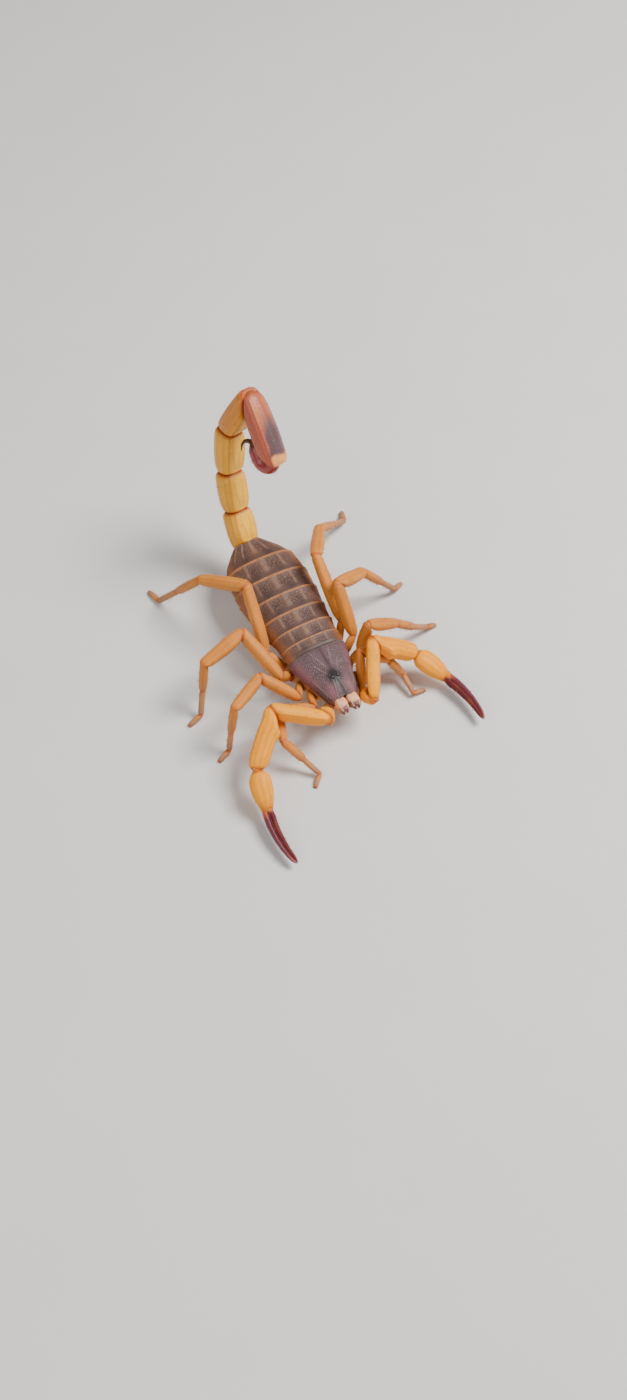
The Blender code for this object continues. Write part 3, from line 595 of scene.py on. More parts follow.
armPlan = {
    "coxaEnd": (2.8, 0.2, 5.0), "coxaRoot": (1.1, 1.9, 4.2),
    "lengths": (2.4, 7.5, 8.2, 5.7, 8.4),
    "right": ((-31, -119, -44, -14, 2), (6.3, 8.1, 4.9, 2.2, 1.4)),
    "left": ((21, 152, 77, 35, 6), (6.5, 9.4, 4.3, 1.9, 1.7)),
    "trochanterSize": (2.3, 2.1), "femurSize": (1.9, 2.3), "patellaSize": (2.9, 2.3),
    "palmSize": (3.1, 2.5),
    "fingerBow": 0.5, "fingerInset": 0.25, "fingerWidth": 0.62, "fingerHeight": 1.15, "slit": 0.02,
    "trochanter": ((0.0, 0.6, 0.64), (0.3, 0.92, 0.92), (0.75, 1.0, 1.0), (1.0, 0.78, 0.8)),
    "femur": ((0.0, 0.62, 0.66), (0.1, 0.85, 0.9), (0.35, 1.0, 1.0), (0.8, 1.0, 1.0), (0.95, 0.92, 0.92),
              (1.0, 0.78, 0.8)),
    "patella": ((0.0, 0.6, 0.72, 0.0), (0.08, 0.78, 0.86, 0.02), (0.2, 1.0, 0.95, 0.14),
                (0.4, 0.95, 1.0, 0.04), (0.75, 0.95, 1.0, 0.0), (0.94, 0.8, 0.86, 0.0),
                (1.0, 0.5, 0.6, 0.0)),
    "palm": ((0.03, 0.46, 0.5, 0.0), (0.1, 0.7, 0.7, 0.01), (0.22, 0.95, 0.9, 0.03), (0.42, 1.0, 1.0, 0.03),
             (0.65, 0.88, 0.92, 0.05), (0.85, 0.66, 0.74, 0.07), (0.97, 0.52, 0.58, 0.08)),
    "joints": ((1.4, 1.4), (1.7, 1.7), (1.65, 1.75), (1.3, 1.35)),
    "teeth": 56, "denticles": 9, "denticleRadius": 0.085, "edgeRadius": 0.1, "wristRadius": 0.17,
    "innerEdge": {"left": 224, "right": 316},
    "hairs": ((40, 0.5), (40, 0.5), (70, 0.55), (40, 0.4)),
}


# A limb's joints, the direction of each segment, and that of the coxa before them.
def limbLine(side, pair):
    mirror = np.array((sides[side], 1, 1))
    if pair == "arm":
        root, end, lengths, stance = (armPlan[key] for key in ("coxaRoot", "coxaEnd", "lengths", side))
    else:
        keys = ("coxaRoots", "coxaEnds", "lengths", side)
        root, end, lengths, stance = (legPlan[key][pair - 1] for key in keys)
    points = jointLine(np.array(end) * mirror, lengths, *stance)
    return points, [unit(b - a) for a, b in zip(points, points[1:])], unit((np.array(end) - root) * mirror)


# A soft joint: an egg in the gap between two segments, across the plane where they meet.
def softJoint(point, before, after, width, height):
    return egg(point, (width + height) / 4, unit(before + after), 0.75)


def putJoints(tag, points, aims, coxaAim, sizes, slotName):
    before = [coxaAim] + aims
    joints = [softJoint(points[k], before[k], aims[k], *size) for k, size in enumerate(sizes)]
    putPiece(tag + "Joints", joints, "jointSkin", slotName)


def buildLeg(side, pair):
    points, aims, coxaAim = limbLine(side, pair)
    trochanter = legPlan["trochanterSize"]
    femur, patella, tibia, tarsus = zip(legPlan["widths"][pair - 1], legPlan["heights"][pair - 1])
    sizes = (trochanter, femur, patella, tibia, tarsus, tarsus)
    keels = keeled(((62, 0.05, 9), (-58, 0.05, 9)), 0.22, 0.022, 0.24, seed=pair)
    plain = keeled(((70, 0.03, 10), (-64, 0.04, 10)), 0.24, 0.014, 0.22, seed=pair + 4)
    duskyShin = lambda angles, places: {"tone": 0.5 * smooth(0.1, 1.0, places)}
    dusky = lambda angles, places: {"tone": 0.5 + 0.45 * smooth(0.2, 1.0, places)}
    parts = []
    for index, (name, rows, relief, tone) in enumerate((
            ("trochanter", 28, keels, None), ("femur", 64, keels, None), ("patella", 56, plain, None),
            ("tibia", 44, plain, duskyShin), ("basitarsus", 36, None, dusky),
            ("telotarsus", 30, None, dusky))):
        parts.append(segment(points[index], points[index + 1], legPlan[name], *sizes[index],
                             aims[index - 1] if index else coxaAim, aims[index + 1] if index < 5 else None,
                             rows=rows, relief=relief, tone=tone, sole=index == 5))
    tag, node = f"leg{side.title()}{pair}", f"leg_{side}_{pair}_"
    for name, first, last in (("Femur", 0, 2), ("Patella", 2, 3), ("Shank", 3, 6)):
        putPiece(tag + name, parts[first:last], "legShell", "limb", node + name.lower())
    # a joint is as thick as the segment before it, and the first as the trochanter
    putJoints(tag, points, aims, coxaAim, [(share * width, share * height) for share, (width, height)
                                           in zip(legPlan["joints"], (trochanter, *sizes))], "limb")

    # two claws, two pedal spurs at the ankle, and a spur at the shin's end on the rear pairs
    hooks = []
    tip, aim = points[6], aims[5]
    across = unit(np.cross(up, aim))
    for beside in (-across, across):
        root = tip - 0.42 * aim + 0.12 * beside
        heading = unit(aim * (1, 1, 0.2) + 0.38 * beside + 0.25 * up)
        hooks.append(hook(root, heading, -up - 0.2 * beside, *legPlan["claw"]))
        ankle = points[5] - 0.15 * aims[4] - 0.2 * up * tarsus[1] + 0.16 * beside
        hooks.append(hook(ankle, -up + aims[4] + 0.6 * beside, aims[4], *legPlan["pedalSpur"], rows=6))
    if pair >= 3:
        shin = points[4] - 0.2 * aims[3] - 0.3 * tibia[1] * up
        hooks.append(hook(shin, -up + 0.8 * aims[3], aims[3], *legPlan["shinSpur"], rows=6))
    putPiece(tag + "Claws", hooks, "bulbShell", "limb")
    hairs = [bristles(part, count, length, pair * 10 + sides[side] + 100 * number, belly)
             for number, (part, (count, length, belly)) in enumerate(zip(parts[1:], legPlan["hairs"]), 1)]
    putPiece(tag + "Bristles", hairs, "bristleHorn", "limb")


for side in sides:
    for pair in (1, 2, 3, 4):
        buildLeg(side, pair)
print("legs done")


# The closed fingers narrow toward their tip and bow outward: what is left of their thickness, and the
# outward shift of their middle.
def fingerAt(place):
    bow = armPlan["fingerBow"] * 4 * place * (1 - place) - armPlan["fingerInset"] * (1 - place)
    return 1 - 0.72 * place ** 1.6, bow


# Stations of one finger of the closed pair, beside the slit.
def fingerStations(start, run, left, outward, beside, root):
    stations = []
    for place in (root, root + 0.1, 0.3, 0.45, 0.6, 0.75, 0.88, 0.96, 1.0):
        taper, bow = fingerAt(place)
        tip = 1 - 0.75 * smooth(0.93, 1.0, place)
        halfWidth = (armPlan["fingerWidth"] / 2 * taper + 0.1) * tip
        shift = outward * bow + beside * (armPlan["slit"] + halfWidth)
        stations.append((start + run * place + left * shift, halfWidth,
                         (armPlan["fingerHeight"] / 2 * taper + 0.04) * tip))
    return stations


def buildArm(side):
    points, aims, coxaAim = limbLine(side, "arm")
    outward = sides[side]
    tag, node = "arm" + side.title(), f"pedipalp_{side}_"
    breadth = armPlan["patellaSize"][0]
    patella = [(*station, -outward * shift * breadth) for *station, shift in armPlan["patella"]]
    parts = []
    for index, (name, profile, keels, rows, around, power, grain, pitch) in enumerate((
            ("trochanter", armPlan["trochanter"], ((50, 0.07, 8), (-48, 0.06, 8)), 40, 56, 2.4, 0.03, 0.24),
            ("femur", armPlan["femur"], ((44, 0.1, 6), (-44, 0.08, 6)), 100, 72, 2.8, 0.02, 0.26),
            ("patella", patella, ((46, 0.08, 6), (78, 0.03, 6), (-46, 0.07, 6), (8, 0.03, 7)), 104, 72, 2.6,
             0.02, 0.26))):
        parts.append(segment(points[index], points[index + 1], profile, *armPlan[name + "Size"],
                             aims[index - 1] if index else coxaAim, aims[index + 1], power=power, rows=rows,
                             around=around, relief=keeled(keels, 0.2, grain, pitch, seed=3 + 2 * index)))
        putPiece(tag + name.title(), parts[-1], "armShell", "arm", node + name)
    _, thigh, knee = parts

    # palm and fixed finger are one shell
    left, fingerLeft = unit(np.cross(up, aims[3])), unit(np.cross(up, aims[4]))
    width, height = armPlan["palmSize"]
    start, run = points[4], points[5] - points[4]
    stations = []
    for place, across, rise, shift in armPlan["palm"]:
        middle = points[3] + (points[4] - points[3]) * place - left * outward * shift * width
        stations.append((middle, across * width / 2, rise * height / 2))
    stations += fingerStations(start, run, fingerLeft, outward, -outward, 0.12)
    palmShare = armPlan["lengths"][3] / (armPlan["lengths"][3] + armPlan["lengths"][4])

    def handTone(angles, share):
        dark = smooth(palmShare * 0.86, palmShare * 1.12, share + 0.012 * np.cos(3 * angles))
        rust = bell(share - palmShare * 0.98, 0.07)
        return {"tone": dark, "stripe": 0.6 * rust * (1 - dark), "ends": bell(share, 0.02)}

    handKeels = keeled(((90, 0.02, 6), (60, 0.02, 6), (20, 0.02, 6), (-50, 0.03, 7)), 0.3, 0.012, 0.22,
                       seed=9)

    def handRelief(angles, along, length, girth):
        lift, ridge = handKeels(angles, along, length, girth)
        return lift, ridge * smooth(palmShare * 0.9, palmShare * 0.6, along / length)

    hand = loft(stations, rows=150, around=64, power=2.3, relief=handRelief, tone=handTone)
    putPiece(tag + "Hand", hand, "armShell", "arm", node + "hand")
    fingerTone = lambda angles, share: {"tone": 0.7 * smooth(0.7, 1.0, share),
                                        "stripe": 0.8 * smooth(0.16, 0.0, share)}
    finger = loft(fingerStations(start, run, fingerLeft, outward, outward, 0.02), rows=90, around=36,
                  relief=keeled((), grain=0.012, grainPitch=0.2, seed=11), tone=fingerTone)
    putPiece(tag + "FreeFinger", finger, "fingerShell", "finger", node + "free_finger")

    # small teeth along the slit, pale beads on the inner edge, granules along the femur and at the wrist
    teeth, beads = [], []
    for place in np.linspace(0.08, 0.93, armPlan["teeth"]):
        taper, bow = fingerAt(place)
        middle = start + run * place + fingerLeft * outward * bow
        rise = armPlan["fingerHeight"] / 2 * taper * 0.72
        teeth.append(egg(middle + rise * up, 0.12 - 0.05 * place, up, 1.1, 5, 6))
    for place in np.linspace(0.14, 0.86, armPlan["denticles"]):
        taper, bow = fingerAt(place)
        reach = 2 * (armPlan["fingerWidth"] / 2 * taper + 0.09)
        middle = start + run * place + fingerLeft * outward * (bow - reach * 0.94)
        beads.append(egg(middle + 0.12 * taper * up, armPlan["denticleRadius"], up, 1.0, 7, 10))
    grid = thigh["grid"]
    edge = round(armPlan["innerEdge"][side] / 360 * grid.shape[1])
    serration = [egg(grid[row, edge], armPlan["edgeRadius"], up, 1.0, 5, 7) for row in range(12, 100, 4)]
    wrist = points[3] + 0.62 * up
    serration += [egg(wrist + turn * 0.3 * left, armPlan["wristRadius"], up, 0.7, 9, 12) for turn in (-1, 1)]
    putPiece(tag + "Teeth", teeth, "fingerShell", "finger")
    putPiece(tag + "Beads", beads, "jawShell", "finger")
    putPiece(tag + "Edge", serration, "combShell", "arm")
    putJoints(tag, points, aims, coxaAim, armPlan["joints"], "arm")
    hairs = [bristles(part, *hair, 40 + outward + number) for number, (part, hair)
             in enumerate(zip((thigh, knee, hand, finger), armPlan["hairs"]))]
    putPiece(tag + "Bristles", hairs, "bristleHorn", "arm")


for side in sides:
    buildArm(side)
print("arms done")


tailPlan = {
    "base": (0.0, 30.0, 6.5), "yaw": 15.0, "lean": 13.0,
    "pitches": (56.0, 66.0, 80.0, 113.0, 227.0),
    "lengths": (5.6, 6.1, 6.9, 7.7, 8.9),
    "widths": (4.4, 4.25, 4.2, 4.05, 3.85),
    "heights": (3.7, 3.7, 3.7, 3.7, 3.3),
    "reliefRoom": (0.1, 0.16), "lastBow": 0.2, "jointShare": 0.74,
    "profile": ((0.0, 0.74, 0.76), (0.06, 0.84, 0.86), (0.28, 0.97, 0.97), (0.55, 1.0, 1.0),
                (0.85, 0.96, 0.97), (0.95, 0.87, 0.9), (1.0, 0.75, 0.78)),
    # angle round the section, height, angular width: the first pair edges the back
    "keels": ((50, 0.16, 6), (20, 0.07, 6), (-8, 0.05, 6), (-46, 0.12, 6), (-74, 0.08, 6)),
    "lastKeels": ((46, 0.12, 6), (4, 0.04, 6), (-48, 0.14, 6), (-90, 0.06, 6)),
    "furrow": 0.16, "lastFurrow": 0.6, "backLines": 0.035,
    "beadPitch": 0.24, "grain": 0.022, "grainPitch": 0.3,
    # the rows of pale beads: first and last column and how many, rows before the end, and radius
    "beads": (19, 35, 8), "beadRows": 13, "beadRadius": 0.085,
    "yellowDepths": (0.3, 0.3, 0.3, 0.85), "hairs": (36, 0.55),
}

# a stretch of the bulb ends at a heading, after a length, with a radius
bulbPlan = {
    "rootAngle": 40.0, "rootRadius": 0.75,
    "fold": (180.0, 3.6, 1.2), "body": (180.0, 1.0, 1.2), "taper": (130.0, 1.5, 0.36),
    "breadth": 1.08, "stingLength": 3.4, "stingTurn": (130.0, 20.0), "stingRadii": (0.42, 0.1),
}


# The plane of the arch: rearward on the floor, upward with the tail's lean, and across it.
def archAxes():
    yaw, lean = math.radians(tailPlan["yaw"]), math.radians(tailPlan["lean"])
    rearward = np.array((-math.sin(yaw), math.cos(yaw), 0.0))
    level = np.array((math.cos(yaw), math.sin(yaw), 0.0))
    upward = math.cos(lean) * up + math.sin(lean) * level
    return rearward, upward, np.cross(rearward, upward)


# The heading at a pitch in the arch, and the direction of the back there.
def inArch(pitch):
    rearward, upward, _ = archAxes()
    angle = np.radians(pitch)[..., None]
    return (np.cos(angle) * rearward + np.sin(angle) * upward,
            -np.sin(angle) * rearward + np.cos(angle) * upward)


# Adds two faint lines beside the middle of the back, closing toward the front end.
def withBackLines(carved):
    def relief(angles, along, length, girth):
        lift, ridge = carved(angles, along, length, girth)
        share = along / length
        for turn in (-1, 1):
            away = angles - math.pi / 2 - turn * np.radians(5 + 9 * smooth(0.1, 0.7, share))
            line = bell(away, math.radians(2.5)) * smooth(0.06, 0.2, share) * smooth(0.95, 0.8, share)
            lift = lift + tailPlan["backLines"] * line
            ridge = np.maximum(ridge, 0.8 * line)
        return lift, ridge
    return relief


# The marks of a yellow segment: a tone away from the back, and a stripe along the belly.
def yellowMarks(depth):
    return lambda angles, places: {"tone": depth * (1 - bell(awayFrom(90, angles), math.radians(50))),
                                   "stripe": 0.5 * bell(awayFrom(-90, angles), math.radians(52))}


# The marks of the last segment: a grey patch that wanders along the belly, a pale ring at its end,
# warm streaks beside the middle, and a painted highlight on one flank, where the grey thins and a pale band
# lies.
def lastMarksAndHighlight(angles, places):
    under = np.degrees(awayFrom(-90, angles))
    ring = smooth(0.83, 0.88, places + 0.015 * np.cos(5 * angles)) * smooth(70, 44, np.abs(under + 16))
    wander = under + 15 + 5 * np.sin(11 * places + 2) + 4 * np.sin(27 * places + 1)
    grey = smooth(62, 36, np.abs(wander)) * smooth(0.2, 0.48, places - 0.004 * under)
    # painted highlight: the grey patch thins on the flank that the light falls on
    grey *= 1 - 0.5 * bell(under + 58, 12) * smooth(0.5, 0.75, places)
    streak = bell(np.abs(under) - 28, 20) * smooth(0.55, 0.2, places) * smooth(0.02, 0.1, places)
    return {"tone": grey * (1 - ring), "stripe": ring, "ends": 0.9 * streak,
            # on this segment the ridge mark is not keels but a painted pale highlight along the flank
            "ridge": 0.6 * bell(under + 50, 20) * smooth(0.05, 0.3, places) * (1 - ring)}


def buildTail():
    aims = [inArch(pitch)[0] for pitch in tailPlan["pitches"]]
    aims.append(inArch(tailPlan["pitches"][4] + 2 * bulbPlan["rootAngle"])[0])
    points = [np.array(tailPlan["base"])]
    for length, aim in zip(tailPlan["lengths"], aims):
        points.append(points[-1] + length * aim)
    membranes, specks = [], []
    for number in range(5):
        last = number == 4
        bend = aims[number - 1] if number else back
        width, height = (tailPlan[key][number] - room for key, room in zip(("widths", "heights"),
                                                                           tailPlan["reliefRoom"]))
        furrow = tailPlan["furrow"] * (tailPlan["lastFurrow"] if last else 1.0)
        carved = keeled(tailPlan["lastKeels" if last else "keels"], tailPlan["beadPitch"], tailPlan["grain"],
                        tailPlan["grainPitch"], furrow, seed=20 + number)
        made = segment(points[number], points[number + 1], tailPlan["profile"], width, height, bend,
                       aims[number + 1], dorsal=inArch(tailPlan["pitches"][number])[1], power=2.7, rows=128,
                       around=108, relief=withBackLines(carved), bow=tailPlan["lastBow"] if last else 0,
                       tone=lastMarksAndHighlight if last else yellowMarks(tailPlan["yellowDepths"][number]))
        skin, slotName = ("tailEndShell", "tail_end") if last else ("tailShell", "tail")
        putPiece(f"tailSegment{number + 1}", made, skin, slotName, f"metasoma_{number + 1}")
        # pale beads on the rear edge of the back
        for k, column in enumerate(np.linspace(*tailPlan["beads"]).astype(int)):
            spot = made["grid"][k % 2 - tailPlan["beadRows"], column]
            specks.append(egg(spot, tailPlan["beadRadius"], up, 1.0, 5, 7))
        share = tailPlan["jointShare"]
        membranes.append(softJoint(points[number], bend, aims[number], width * share, height * share))
        hairs = bristles(made, *tailPlan["hairs"], 60 + number)
        putPiece(f"tailBristles{number + 1}", hairs, "bristleHorn", slotName)
    membranes.append(softJoint(points[5], aims[4], aims[5], 1.5, 1.5))
    putPiece("tailJoints", membranes, "membrane", "tail")
    putPiece("tailBeads", specks, "combShell", "tail")
    buildBulb(points[5])


# A line in the plane of the arch from a heading at each of its points, with its upper and across
# directions. A step takes the heading halfway between those of its ends.
def foldLine(start, angles, steps):
    angles, steps = np.array(angles), np.array(steps)
    middles = np.append(angles[0], (angles[1:] + angles[:-1]) / 2)
    along, _ = inArch(tailPlan["pitches"][4] + middles)
    _, upper = inArch(tailPlan["pitches"][4] + angles)
    return start + np.cumsum(along * steps[:, None], axis=0), upper, archAxes()[2]


# The bulb and the sting follow one line in the plane of the arch. The heading turns evenly with length in
# each stretch, and the radius swells or shrinks as a quarter wave.
def buildBulb(tailEnd):
    angle, radius = bulbPlan["rootAngle"], bulbPlan["rootRadius"]
    angles, radii, steps = [angle], [radius * 0.6], [0.0]
    for key, count in (("fold", 44), ("body", 10), ("taper", 26)):
        nextAngle, length, nextRadius = bulbPlan[key]
        share = np.arange(1, count + 1) / count
        swell = radius + (nextRadius - radius) * np.sin(share * math.pi / 2)
        if nextRadius < radius:
            swell = nextRadius + (radius - nextRadius) * np.cos(share * math.pi / 2) ** 0.8
        angles += list(angle + (nextAngle - angle) * share)
        radii += list(swell)
        steps += [length / count] * count
        angle, radius = nextAngle, nextRadius
    start = tailEnd + 0.1 * inArch(tailPlan["pitches"][4] + bulbPlan["rootAngle"])[0]
    line, upper, across = foldLine(start, angles, steps)
    radii, travelled = np.array(radii), np.cumsum(steps)
    relief = keeled(((-60, 0.03, 8), (-90, 0.03, 8)), 0.26, 0.02, 0.26, seed=31)
    _, x, y, ridge = rings(radii * bulbPlan["breadth"], radii, 2.1, 64, relief, travelled, girth=7.0)
    travelled = travelled[:, None]
    bulb = closedTube(line[:, None] + x[..., None] * across + y[..., None] * upper[:, None],
                      {"ridge": 0.6 * ridge, "stripe": smooth(0.7, 1.0, travelled / travelled[-1, 0]),
                       "ends": bell(travelled, 0.3)})
    putPiece("bulb", bulb, "bulbShell", "bulb", "telson")
    putPiece("bulbBristles", bristles(bulb, 60, 0.6, 71), "bristleHorn", "bulb")

    # the sting starts a little inside the bulb
    count = 48
    share = np.linspace(0, 1, count + 1)
    first, last = bulbPlan["stingTurn"]
    root = line[-1] - 0.12 * unit(line[-1] - line[-2])
    steps = np.append(0, np.full(count, (bulbPlan["stingLength"] + 0.3) / count))
    line, upper, across = foldLine(root, first + (last - first) * share, steps)
    thick, thin = bulbPlan["stingRadii"]
    radii = (thin * 0.35 + (thick - thin * 0.35) * (1 - share) ** 0.8)[:, None, None]
    sting = closedTube(line[:, None] + radii * circle(20, across, upper[:, None]),
                       {"tone": smooth(0.22, 0.0, share)[:, None]})
    putPiece("sting", sting, "stingHorn", "sting", "aculeus")


buildTail()
print("tail done")


shieldPlan = {
    "rim": 5.7, "notch": 0.35, "wall": 0.22, "thinnest": 0.06,
    # distance behind the front edge, half width, height of the crown
    "stations": ((0.0, 1.75, 6.9), (0.7, 2.25, 7.25), (1.6, 2.6, 7.5), (3.2, 3.0, 7.72), (4.6, 3.45, 7.8),
                 (6.4, 4.0, 7.95), (7.7, 4.3, 8.0), (8.35, 4.35, 7.85)),
    "eye": (0.42, 3.1, 7.88), "eyeRadius": 0.27,
    "mound": (0.24, 0.95),
    # keels as lines from (across, behind) to (across, behind), with a height and a width
    "keels": (((0.62, 2.35), (0.62, 3.75), 0.12, 0.12), ((0.6, 2.3), (1.05, 0.3), 0.09, 0.1),
              ((0.85, 4.0), (1.9, 6.0), 0.08, 0.11), ((0.55, 5.3), (1.5, 8.1), 0.09, 0.11),
              ((2.1, 1.3), (2.9, 4.1), 0.05, 0.11)),
    "beadPitch": 0.24, "edgePitch": 0.22, "edgeBeads": 0.05, "grain": 0.065, "grainPitch": 0.3,
    "lateralEyes": ((1.9, 0.55, 6.72), (2.12, 0.85, 6.68), (2.3, 1.2, 6.62)), "lateralEyeRadius": 0.12,
}


# The shield is a vault: across is half width times the cosine, and the rise is the crown's height times
# a power of the sine. On it lie the eye mound, granular keels, furrows and granules.
def buildShield():
    rows, columns = 200, 190
    length, eyeBehind = shieldPlan["stations"][-1][0], shieldPlan["eye"][1]
    behind = np.linspace(0.0, length, rows)[:, None]
    turn = np.linspace(0.0, math.pi, columns)[None, :]
    halfWidth, crown = curvesThrough(shieldPlan["stations"], behind)
    x = halfWidth * np.cos(turn)
    rise = np.sin(turn) ** 0.6
    y = behind + shieldPlan["notch"] * (1 - np.abs(np.cos(turn))) ** 2 * bell(behind, 0.8)
    z = shieldPlan["rim"] + (crown - shieldPlan["rim"]) * rise
    high, wide = shieldPlan["mound"]
    lift, ridge = high * bell(np.hypot(x / 0.85, y - eyeBehind), wide), np.zeros(z.shape)
    lift -= 0.16 * bell(x, 0.22) * (bell(y - 1.2, 1.1) + bell(y - 6.4, 1.8))
    lift -= 0.1 * bell(y - 4.9, 0.35) * smooth(0.5, 1.4, np.abs(x)) * smooth(3.6, 2.6, np.abs(x))
    for (x0, y0), (x1, y1), raised, width in shieldPlan["keels"]:
        line = np.array((x1 - x0, y1 - y0))
        reach = np.linalg.norm(line)
        line = line / reach
        along = (np.abs(x) - x0) * line[0] + (y - y0) * line[1]
        away = (np.abs(x) - x0) * line[1] - (y - y0) * line[0]
        beads = beaded(along, shieldPlan["beadPitch"])
        keel = bell(away, width) * smooth(-0.15, 0.1, along) * smooth(reach + 0.15, reach - 0.1, along)
        lift += raised * keel * (0.45 + 0.55 * beads)
        ridge = np.maximum(ridge, keel * (0.35 + 0.65 * beads))
    arc = halfWidth * turn
    field = granules(arc, y, shieldPlan["grainPitch"], 41)
    coarse = smooth(0.15, 0.8, np.abs(x)) * (1 - 0.8 * bell(np.hypot(x, y - eyeBehind), 0.8))
    lift += shieldPlan["grain"] * field * coarse
    ridge = np.maximum(ridge, 0.55 * field * coarse)
    edge = bell(behind, 0.16) + bell(behind - length + 0.05, 0.14)
    lift += shieldPlan["edgeBeads"] * edge * beaded(arc, shieldPlan["edgePitch"])
    lift *= smooth(0.0, 0.12, np.sin(turn))
    outward = unit(np.stack(np.broadcast_arrays(x / halfWidth, 0.0, 0.25 + rise), -1))
    surface = np.stack((x, y, z), -1)
    fromEnds = np.minimum(np.minimum(behind, length - behind), 0.5)
    drop = shieldPlan["wall"] * smooth(0.0, 0.5, fromEnds + 0.12)
    inner = surface - outward * np.maximum(drop, shieldPlan["thinnest"])[..., None]
    halo = smooth(1.5, 0.45, np.hypot(x / 1.1, (y - 3.3) / 1.2))
    lobes = bell(np.abs(x) - 1.35, 0.6) * bell(y - 1.2, 1.3)
    flank = smooth(0.62, 0.98, np.abs(x) / halfWidth) * smooth(2.0, 4.5, y)
    band = bell(x, 0.42) * smooth(4.6, 3.2, y)
    marks = {"tone": np.maximum(0.85 * lobes, 0.75 * flank), "stripe": np.maximum(0.95 * halo, 0.2 * band),
             "ends": np.maximum(0.6 * band * (1 - halo), bell(behind - length, 0.3)),
             "ridge": ridge * (1 - 0.75 * halo)}
    outer = surface + outward * lift[..., None]
    putPiece("headShield", shell(outer, inner, marks), "darkShell", "shell_dark", "carapace")
    for side, sign in sides.items():
        mirror = np.array((sign, 1, 1))
        centre = np.array(shieldPlan["eye"]) * mirror
        eye = egg(centre, shieldPlan["eyeRadius"], (sign, 0, 0.6), 0.95, 17, 28)
        putPiece("medianEye" + side.title(), eye, "eyeGloss", "eye", "median_eye_" + side)
        small = [egg(np.array(centre) * mirror, shieldPlan["lateralEyeRadius"], up, 1, 11, 16)
                 for centre in shieldPlan["lateralEyes"]]
        putPiece("lateralEyes" + side.title(), small, "eyeGloss", "eye")


jawPlan = {
    "centre": 0.88, "width": 1.68, "net": 0.85,
    # shift to the middle, distance behind, height, share of the width, half height
    "stations": ((0.0, 0.35, 6.1, 0.42, 0.62), (0.0, -0.1, 6.14, 0.49, 0.76),
                 (0.0, -0.6, 6.1, 0.5, 0.82), (0.0, -1.05, 6.0, 0.49, 0.8),
                 (0.02, -1.35, 5.92, 0.44, 0.7), (0.03, -1.5, 5.86, 0.3, 0.46),
                 (0.03, -1.55, 5.84, 0.12, 0.2)),
    # a finger's place beside the jaw's middle, its radius and length
    "fingers": ((-0.38, 0.32, 0.74), (0.4, 0.37, 0.82)),
}


# Each jaw is a cream block under a dark net, with a fixed finger on its inner side and a free finger
# outside. The net is dark between pale round cells.
def buildJaw(side):
    sign = sides[side]
    centre, width = jawPlan["centre"], jawPlan["width"]

    def shade(angles, share):
        cells = granules(angles * 0.75, share * 2.0, 0.27, 51)
        net = smooth(0.55, 0.15, cells) * smooth(0.5, 0.78, share) * smooth(-0.3, 0.3, np.sin(angles))
        inward = -sign * np.cos(angles)
        return {"tone": np.maximum(jawPlan["net"] * net, 0.95 * smooth(0.6, 0.74, share + 0.16 * inward)),
                "ends": 0.6 * bell(share, 0.14)}

    block = loft([((sign * (centre - inset), behind, height), width * share, halfHeight)
                  for inset, behind, height, share, halfHeight in jawPlan["stations"]], rows=70, around=64,
                 power=3.1, relief=keeled(((62, 0.04, 8),), 0.22, 0.02, 0.22, seed=51), tone=shade)
    parts = [block]
    for offset, radius, length in jawPlan["fingers"]:
        root = np.array((sign * (centre + offset), -1.15, 5.88))
        toward = np.array((-sign * np.sign(offset), 0.0, -0.4))
        parts.append(hook(root, (0.0, -1.0, -0.1), toward, length, 42, (radius, 0.08), 16, 16,
                          {"tone": 0.95}))
        for place in (0.3, 0.5, 0.7):
            tooth = root + (0, -length * place, 0.02) + radius * (1 - 0.6 * place) * unit(toward)
            parts.append(hook(tooth, toward, -up, 0.2, 20, (0.08, 0.025), 6, 8, {"stripe": 0.8}))
        tip = root + (0, -length * 0.86, -0.08) + 0.2 * unit(toward)
        parts.append(hook(tip, (0, -1, -0.2), toward, 0.3, 45, (0.085, 0.02), 6, 8, {"stripe": 1.0}))
    putPiece("jaw" + side.title(), parts, "jawShell", "jaw", "chelicera_" + side)
    putPiece("jawBristles" + side.title(), bristles(block, 40, 0.4, 90 + sign), "bristleHorn", "jaw")


buildShield()
for side in sides:
    buildJaw(side)

# Stations of (point, half width, half height) for the flesh, the breast plate and the left half of the
# genital lid, and a coxa's profile of (place, width share, height share).
underPlan = {
    "flesh": (((0, 0.25, 5.5), 1.3, 0.6), ((0, 1.6, 5.35), 2.2, 1.0), ((0, 4.6, 5.2), 3.05, 1.25),
              ((0, 7.0, 5.15), 3.7, 1.35), ((0, 9.6, 5.1), 3.9, 1.5), ((0, 10.4, 5.1), 3.6, 1.3)),
    "plate": (((0, 2.9, 3.15), 0.25, 0.3), ((0, 4.2, 3.05), 0.55, 0.35), ((0, 6.2, 3.0), 0.95, 0.4),
              ((0, 6.9, 3.05), 0.9, 0.4)),
    "lid": (((0.62, 7.1, 3.1), 0.3, 0.22), ((0.66, 7.6, 3.0), 0.58, 0.32), ((0.66, 8.6, 3.0), 0.6, 0.32),
            ((0.6, 9.2, 3.1), 0.3, 0.22)),
    "coxa": ((0.0, 0.7, 0.8), (0.3, 0.95, 1.0), (0.85, 1.0, 0.95), (1.0, 0.8, 0.78)),
    "coxaInner": 0.35,
}


